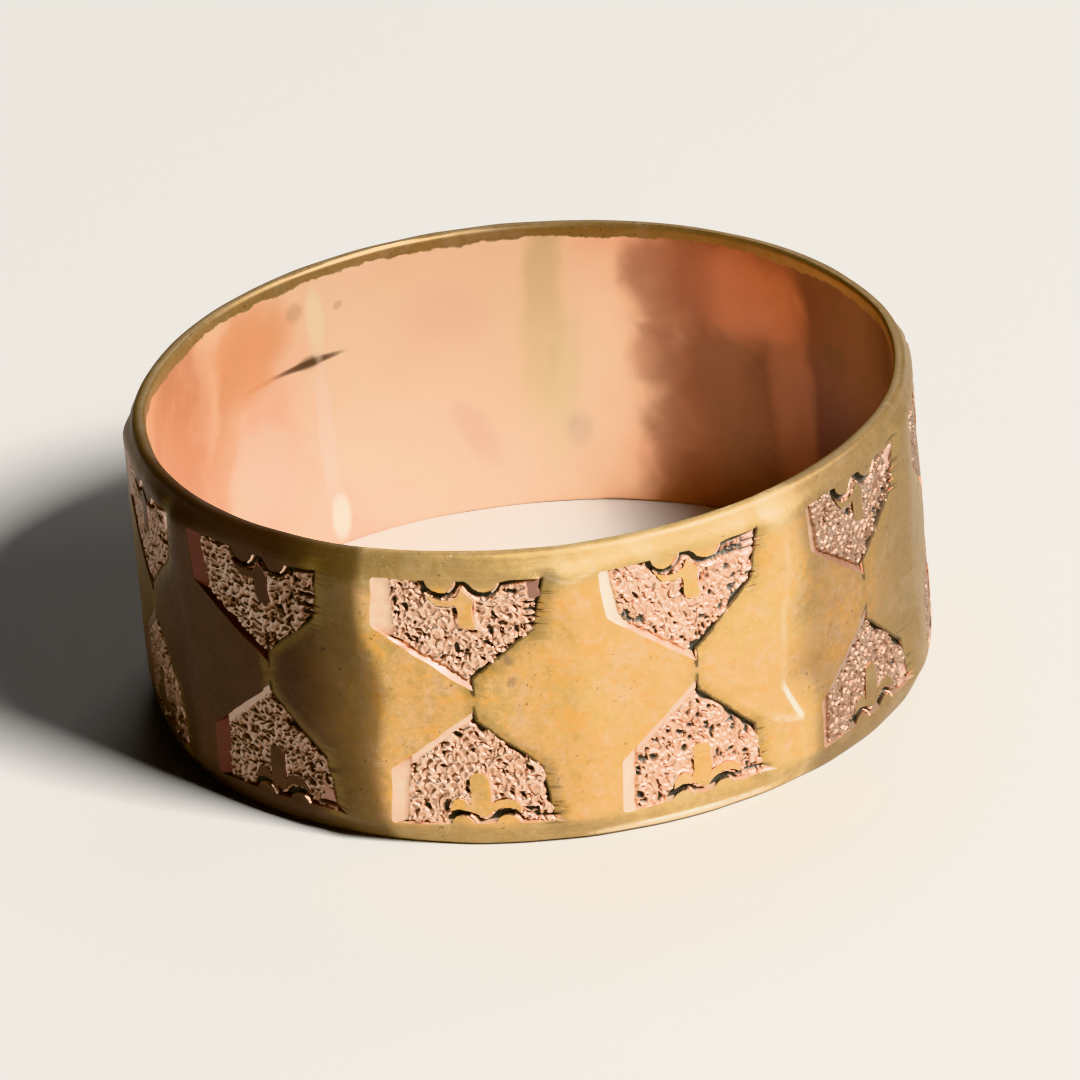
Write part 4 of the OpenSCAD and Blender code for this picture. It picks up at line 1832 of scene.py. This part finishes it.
@dataclass
class MattedGround:
    """The stippled floor of one wing: small curled ridges that a hollow punch raised, with pits between them.

    Heights are in millimetres over the skin.
    """

    shape: WingShape
    facet: int
    side: Side
    # Spacing of the grid on the facets that are seen best and on the others, and its reach past the wing
    pitch: float = 0.020
    far_pitch: float = 0.027
    margin: float = 0.03
    # Distances of the punch marks in a row and of the rows
    cup_gap: float = 0.205
    row_gap: float = 0.215
    # How far round its middle a punch mark reaches
    cup_reach: float = 0.28
    # How many black holes are tried
    pit_tries: int = 90
    # Heights between the marks, in a mark's moat, in a shadow and on its ridge
    plain_h: float = -0.056
    moat_h: float = -0.080
    shadow_h: float = -0.122
    ridge_h: float = -0.016
    # Heights in the black holes, where the ground can't be seen, under the slopes and on the sole
    hole_h: float = -0.150
    hidden_h: float = -0.155
    buried_h: float = -0.20
    sole_h: float = -0.24
    # Angle from which an edge looks sharp
    sharp: float = math.radians(70)

    def __post_init__(self) -> None:
        """Lays out the grid and the row's slant, and draws the seeded unevenness of the edges."""
        outline = np.array(self.shape.outline)
        if self.facet not in (-1, 0, 1, 2):
            self.pitch = self.far_pitch
        low, high = outline.min(axis=0) - self.margin * 2, outline.max(axis=0) + self.margin * 2
        self.counts = np.ceil((high - low) / self.pitch).astype(int)
        self.low, self.high = low, low + self.counts * self.pitch
        gx = self.low[0] + np.arange(self.counts[0] + 1) * self.pitch
        gy = self.low[1] + np.arange(self.counts[1] + 1) * self.pitch
        self.x, self.y = np.meshgrid(gx, gy)
        self.rng = np.random.default_rng(7000 + 10 * (self.facet + 5) + self.side.value)
        self.slant = math.radians(-63 if self.side is Side.UPPER else 52)
        # Edge of the black holes, height that the colour is taken from, and the painted highlight arcs that
        # the painted shade leaves out
        self.ragged = self.swell(620, 0.09)
        self.tint = np.zeros(self.x.shape)
        self.unshaded_glint = np.zeros(self.x.shape)

    def swell(self, seed: int, size: float) -> np.ndarray:
        """Returns the facet's own seeded unevenness at each grid point, in the place it has on the band."""
        return Swell(seed + self.facet, size).at(self.x, self.y * self.side.value)

    def cover(self) -> np.ndarray:
        """Works out where the ground can be seen.

        Returns:
            1 at the grid points where it can be seen, and 0 against the steep cuts and in the grooves.
        """
        s = self.shape
        x, y = self.x, self.y
        low, side = distance_to_path(x, y, s.steep_path[:2]), distance_to_path(x, y, s.steep_path[1:3])
        top, tail = distance_to_path(x, y, s.steep_path[2:]), distance_to_path(x, y, [s.tip, s.tip_high])
        ragged, bites = 0.06 * self.swell(610, 0.15), 0.11 * self.swell(615, 0.27)
        kept_off = 0.005 + 0.03 * (s.holed - 1)
        cover = smoothstep(0.02, 0.06, low + ragged + bites - kept_off)
        cover *= smoothstep(0.0, 0.05, side + ragged + 0.7 * bites + 0.02)
        cover *= smoothstep(0.0, 0.05, top + 2 * ragged + 0.03) * smoothstep(0.04, 0.08, tail)
        groove = distance_to_path(x, y, s.wave) + 0.4 * ragged
        return np.minimum(cover, smoothstep(0.13, 0.16, groove))

    def slope_foot(self) -> tuple[np.ndarray, np.ndarray]:
        """Measures from the foot of the two bright slopes.

        Returns:
            How far each grid point is past the heel's slope and past the lower edge's, below 0 on them.
        """
        floor = self.shape.floor_outline
        heel, corner, end = floor[5], floor[6], floor[0]
        lean = (heel[0] - corner[0]) / (heel[1] - corner[1])
        past_heel = self.x - corner[0] - (self.y - corner[1]) * lean
        lx, ly = end[0] - corner[0], end[1] - corner[1]
        past_edge = ((self.y - corner[1]) * lx - (self.x - corner[0]) * ly) / math.hypot(lx, ly)
        return past_heel, past_edge

    def cups(self) -> Iterator[Point]:
        """Yields the middles of the punch marks, which stand in slanting rows past all sides of the wing."""
        cos, sin = math.cos(self.slant), math.sin(self.slant)
        middle = (self.low + self.high) / 2
        for j in range(-12, 13):
            for i in range(-14, 15):
                a = (i + 0.5 * (j % 2)) * self.cup_gap + self.rng.normal(0, 0.030)
                b = j * self.row_gap + self.rng.normal(0, 0.024)
                yield middle[0] + a * cos + b * -sin, middle[1] + a * sin + b * cos

    def punched(self) -> np.ndarray:
        """Works out the punched surface: curled ridges round small bosses, with sunk crescents on one side of
        them that the colour paints dark as shadows.

        Returns:
            Its height at each grid point.
        """
        height = np.full(self.x.shape, self.plain_h)
        moats, ridges, shadows = (np.zeros(self.x.shape) for _ in range(3))
        shift = (self.facet + 5) * 5.1 + 2.3 * self.side.value
        x, y = self.x, self.y
        wx = x + 0.060 * Swell(31, 0.30).at(x + shift, y) + 0.012 * Swell(34, 0.08).at(x, y)
        wy = y + 0.060 * Swell(32, 0.30).at(x + shift, y) + 0.012 * Swell(35, 0.08).at(x, y)
        uniform, normal = self.rng.uniform, self.rng.normal
        for cx, cy in self.cups():
            radius, squash, turn = uniform(0.076, 0.108), uniform(0.62, 1.15), self.slant + normal(0, 0.45)
            open_at, width, strength = uniform(-math.pi, math.pi), uniform(0.026, 0.040), uniform(0.65, 1.0)
            shadow, shadow_at, boss = uniform(0.0, 0.95), normal(-2.4, 0.9), uniform(0.0, 0.7)
            shadow = min(1.0, shadow * self.shape.holed**0.6)
            dx, dy = wx - cx, wy - cy
            near = (np.abs(dx) < self.cup_reach) & (np.abs(dy) < self.cup_reach)
            if not near.any():
                continue
            px = (dx[near] * math.cos(turn) + dy[near] * math.sin(turn)) * squash
            py = dy[near] * math.cos(turn) - dx[near] * math.sin(turn)
            away, angle = np.hypot(px, py), np.arctan2(dy[near], dx[near])
            opened = smoothstep(-0.9, -0.35, np.cos(angle - open_at)) * strength
            ridge = smoothstep(width * 1.3, width * 0.4, np.abs(away - radius)) * opened
            ridges[near] = np.maximum(ridges[near], ridge)
            moat = np.exp(-(((away - radius * 0.50) / 0.020) ** 2)) * boss
            moats[near] = np.maximum(moats[near], moat)
            facing = smoothstep(0.1, 0.8, np.cos(angle - shadow_at))
            crescent = np.exp(-(((away - radius - 0.045) / 0.020) ** 2)) * facing
            shadows[near] = np.maximum(shadows[near], crescent * shadow)
        height += 0.014 * Swell(36, 0.12).at(x + shift, y)
        height = towards(height, self.moat_h, moats)
        height = towards(height, self.shadow_h, shadows)
        return towards(height, self.ridge_h, ridges)

    def hole(self, gash: Gash) -> np.ndarray:
        """Works out one black hole with a ragged edge.

        Args:
            gash: the hole.

        Returns:
            Its depth at each grid point, from 0 to 1.
        """
        turn = math.radians(gash.turn)
        dx, dy = self.x - gash.x, self.y - gash.y
        px = (dx * math.cos(turn) + dy * math.sin(turn)) / gash.long
        py = (dy * math.cos(turn) - dx * math.sin(turn)) / gash.short
        return smoothstep(1.25, 0.80, np.hypot(px, py) + 0.35 * self.ragged)

    def pits(self) -> np.ndarray:
        """Works out the deep black holes between the ridges: those of the wing, and more towards its crest.

        Returns:
            Their depth at each grid point, from 0 to 1.
        """
        s = self.shape
        holes = np.zeros(self.x.shape)
        for gash in s.gashes:
            holes = np.maximum(holes, self.hole(gash))
        for _ in range(self.pit_tries):
            x, y = self.rng.uniform(self.low[0], self.high[0]), self.rng.uniform(self.low[1], self.high[1])
            size, slim = self.rng.uniform(0.05, 0.13), self.rng.uniform(0.3, 0.7)
            turn = math.degrees(self.slant) + self.rng.normal(0, 35)
            to_right = (x - s.heel[0]) / (s.crest[0] - s.heel[0])
            if self.rng.uniform() < (0.12 + 0.62 * to_right) * s.holed:
                holes = np.maximum(holes, self.hole(Gash(x, y, size, size * slim, turn)))
        return holes

    def relief(self) -> tuple[np.ndarray, np.ndarray]:
        """Works out the ground from its punched surface up to what hides it.

        Returns:
            Its height at each grid point, and how far it was left smooth there.
        """
        s = self.shape
        height = self.punched() + 0.012 * Swell(640 + self.facet, 0.5).at(self.x, self.y)
        hole = self.pits() * (1 - 0.6 * smoothstep(-0.045, -0.02, height))
        height = towards(height, self.hole_h, hole)
        for path in s.ridges:
            shifted = [(x + s.anchor_shift, y) for x, y in path]
            line = np.exp(-((distance_to_path(self.x, self.y, shifted) / 0.030) ** 2))
            height = towards(height, -0.008, line)
        smooth = np.zeros(self.x.shape)
        if s.patch is not Patch.NONE:
            edge = np.minimum(self.x - (s.crest[0] - 0.38), self.y - (s.crest[1] - 0.52))
            uneven = 0.05 * Swell(650 + self.facet, 0.14).at(self.x, self.y)
            smooth = smoothstep(-0.03, 0.03, edge + uneven)
            height = towards(height, -0.045 + 0.03 * (self.x - s.crest[0]), smooth)
        for y in s.streaks:
            stroke = smoothstep(s.crest[0] - 0.62, s.crest[0] - 0.36, self.x)
            stroke = np.exp(-(((self.y - y) / 0.036) ** 2)) * stroke
            height = towards(height, self.hole_h, stroke)
            smooth *= 1 - stroke
        # Against the steep cuts and in the grooves the ground sinks and its colour goes black: oxide and
        # painted shade
        cover = self.cover()
        height = height * cover + self.hidden_h * (1 - cover)
        # Painted highlights: pale raised arcs beside the lobes
        for x in s.lobes:
            r = s.lobe_r + 0.04
            arc = [(x + r * math.cos(a), s.lobe_y + r * math.sin(a)) for a in (-1.0, -0.7, -0.4, -0.15)]
            glint = smoothstep(0.045, 0.022, distance_to_path(self.x, self.y, arc))
            height = towards(height, -0.003, glint)
            self.unshaded_glint = np.maximum(self.unshaded_glint, glint)
        self.tint = height
        return self.by_slopes(height), smooth * cover

    def by_slopes(self, height: np.ndarray) -> np.ndarray:
        """Sinks the ground under the bright slopes. The lower wings keep a narrow raised strip of it there.

        Args:
            height: height at each grid point.

        Returns:
            The height with the slopes taken into account.
        """
        ragged = 0.03 * self.swell(660, 0.13)
        past_heel, past_edge = self.slope_foot()
        if self.side is Side.UPPER:
            buried = smoothstep(0.02, -0.07, np.minimum(past_heel, past_edge) + ragged)
            return towards(height, self.buried_h, buried)
        strip = smoothstep(0.05, 0.0, past_edge + ragged) * (self.x < self.shape.tip[0] - 0.02)
        raised = -0.030 + 0.024 * smoothstep(0.02, -0.12, past_edge)
        self.tint = np.maximum(self.tint, -0.02 * strip - 0.15 * (1 - strip))
        buried = smoothstep(0.02, -0.07, past_heel + ragged)
        return towards(towards(height, raised, strip), self.buried_h, buried)

    def sheet(self) -> bpy.types.Object:
        """Models the flat grid of the ground, cut to the wing's outline.

        Returns:
            The sheet, in millimetres.
        """
        deselect()
        columns, rows = (int(count) for count in self.counts)
        middle = (self.high + self.low) / 2
        bpy.ops.mesh.primitive_grid_add(
            x_subdivisions=columns, y_subdivisions=rows, size=1, location=(*middle, 0)
        )
        piece = bpy.context.object
        piece.name = piece.data.name = f"ground_{self.facet % BAND.facets:02d}_{self.side.name.lower()}"
        piece.scale = (*(self.high - self.low), 1)
        bpy.ops.object.transform_apply(location=True, rotation=True, scale=True)
        centres = np.empty(len(piece.data.polygons) * 3)
        piece.data.polygons.foreach_get("center", centres)
        cx, cy, _ = centres.reshape(-1, 3).T
        ring = self.shape.outline
        keep = inside_path(cx, cy, ring) | (distance_to_path(cx, cy, ring + ring[:1]) < self.margin)
        select_where(piece, "polygons", ~keep)
        with editing("FACE"):
            bpy.ops.mesh.delete(type="FACE")
        return piece

    def build(self) -> bpy.types.Object:
        """Models the ground as a closed sheet in its pocket, and stores what its material needs.

        Returns:
            The ground, in metres and in its place.
        """
        piece = self.sheet()
        points = points_of(piece)
        column = np.clip(np.round((points[:, 0] - self.low[0]) / self.pitch).astype(int), 0, self.counts[0])
        row = np.clip(np.round((points[:, 1] - self.low[1]) / self.pitch).astype(int), 0, self.counts[1])
        height, smooth = self.relief()
        points[:, 2] = height[row, column]
        place_points(piece, points)
        store(piece, "relief", np.clip((self.tint[row, column] + 0.15) / 0.14, 0, 1))
        store(piece, "smooth", smooth[row, column])
        # Painted shade, partly grime, beyond the lit clean facets, but not on the painted highlight arcs
        grime = SURFACE.grime(points[:, 0] + self.facet * BAND.facet_l, points[:, 1] * self.side.value)
        store(piece, "grime", np.clip(1.8 * grime, 0, 1) * (1 - self.unshaded_glint[row, column]))
        store(piece, "dark_patch", np.full(len(points), float(self.shape.patch is Patch.DARK)))
        with editing("FACE"):
            bpy.ops.mesh.select_all(action="SELECT")
            bpy.ops.mesh.region_to_loop()
            bpy.ops.mesh.extrude_edges_move(TRANSFORM_OT_translate={"value": (0, 0, -0.05)})
            bpy.ops.mesh.edge_face_add()
        chosen = np.zeros(len(piece.data.vertices), bool)
        piece.data.vertices.foreach_get("select", chosen)
        points = points_of(piece)
        points[chosen, 2] = self.sole_h
        points[:, 1] *= self.side.value
        points[:, 0] += self.facet * BAND.facet_l
        place_points(piece, SURFACE.wrap(points))
        face_outward(piece)
        bpy.ops.object.shade_smooth_by_angle(angle=self.sharp)
        return piece


# Studio


@dataclass(frozen=True)
class Softbox:
    """An area light that looks at the ring, by where it stands in degrees and metres.

    The azimuth is counted from -Y towards +X, and the power is in watts.
    """

    name: str
    azimuth: float
    elevation: float
    distance: float
    size: Point
    power: float
    colour: Colour


@dataclass
class Studio:
    """The floor, the soft light and the camera."""

    # Place of the camera in degrees and metres, its lens and its roll, and what it aims at beside the middle
    azimuth: float = 11.9
    elevation: float = 26.0
    distance: float = 0.270
    lens: float = 388.0
    roll: float = -5.4
    aim_right: float = 0.19
    aim_up: float = -0.37
    lights: tuple[Softbox, ...] = (
        Softbox("key", 62, 41, 0.50, (0.14, 0.14), 6.8, (1.0, 0.96, 0.90)),
        Softbox("side", 100, 24, 0.50, (0.14, 0.10), 0.3, (1.0, 0.96, 0.90)),
        Softbox("back", 178, 38, 0.60, (0.30, 0.20), 0.8, (1.0, 0.97, 0.93)),
    )
    sky: float = 0.03

    def camera(self) -> None:
        """Places the camera at the photograph's angle to the ring."""
        a, e = math.radians(self.azimuth), math.radians(self.elevation)
        back = Vector((math.sin(a) * math.cos(e), -math.cos(a) * math.cos(e), math.sin(e)))
        turn = (-back).to_track_quat("-Z", "Y") @ Quaternion((0, 0, 1), math.radians(self.roll))
        right, up = turn @ Vector((1, 0, 0)), turn @ Vector((0, 1, 0))
        aim = Vector((0, 0, BAND.middle * MM)) + right * self.aim_right * MM + up * self.aim_up * MM
        deselect()
        bpy.ops.object.camera_add(location=aim + back * self.distance)
        camera = bpy.context.object
        camera.name = "camera"
        camera.rotation_euler = turn.to_euler()
        camera.data.lens = self.lens
        camera.data.clip_start = 0.01
        bpy.context.scene.camera = camera

    @staticmethod
    def shine(box: Softbox) -> None:
        """Adds one softbox.

        Args:
            box: the light.
        """
        a, e = math.radians(box.azimuth), math.radians(box.elevation)
        back = Vector((math.sin(a) * math.cos(e), -math.cos(a) * math.cos(e), math.sin(e)))
        deselect()
        bpy.ops.object.light_add(type="AREA", location=back * box.distance)
        light = bpy.context.object
        light.name = box.name
        light.rotation_euler = (-back).to_track_quat("-Z", "Y").to_euler()
        light.data.shape = "RECTANGLE"
        light.data.size, light.data.size_y = box.size
        light.data.energy, light.data.color = box.power, box.colour
        light.visible_camera = False

    def floor(self) -> None:
        """Lays the pale floor."""
        deselect()
        bpy.ops.mesh.primitive_plane_add(size=4)
        plane = bpy.context.object
        plane.name = plane.data.name = "floor"
        plane.data.materials.append(PaleFloor().material)

    def build(self) -> None:
        """Sets up the studio."""
        self.camera()
        self.floor()
        for box in self.lights:
            self.shine(box)
        world = bpy.data.worlds.new("studio")
        bpy.context.scene.world = world
        world.use_nodes = True
        sky = world.node_tree.nodes["Background"]
        sky.inputs["Color"].default_value = (0.90, 0.92, 0.95, 1)
        sky.inputs["Strength"].default_value = self.sky
        bpy.context.scene.view_settings.view_transform = "Khronos PBR Neutral"


# Assembly


def main() -> None:
    """Builds the studio, the band and the ground of each wing."""
    Studio().build()
    wings = cut_wings()
    band = Band(wings).build()
    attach(band, "root")
    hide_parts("band")
    log.info("band: %d faces", len(band.data.polygons))
    matted = MattedRose().material
    for (facet, side), shape in wings.items():
        ground = MattedGround(shape, facet, side).build()
        ground.data.materials.append(matted)
        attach(ground, "root")
        log.info("%s: %d faces", ground.name, len(ground.data.polygons))


if __name__ == "__main__":
    logging.basicConfig(level=logging.INFO)
    main()
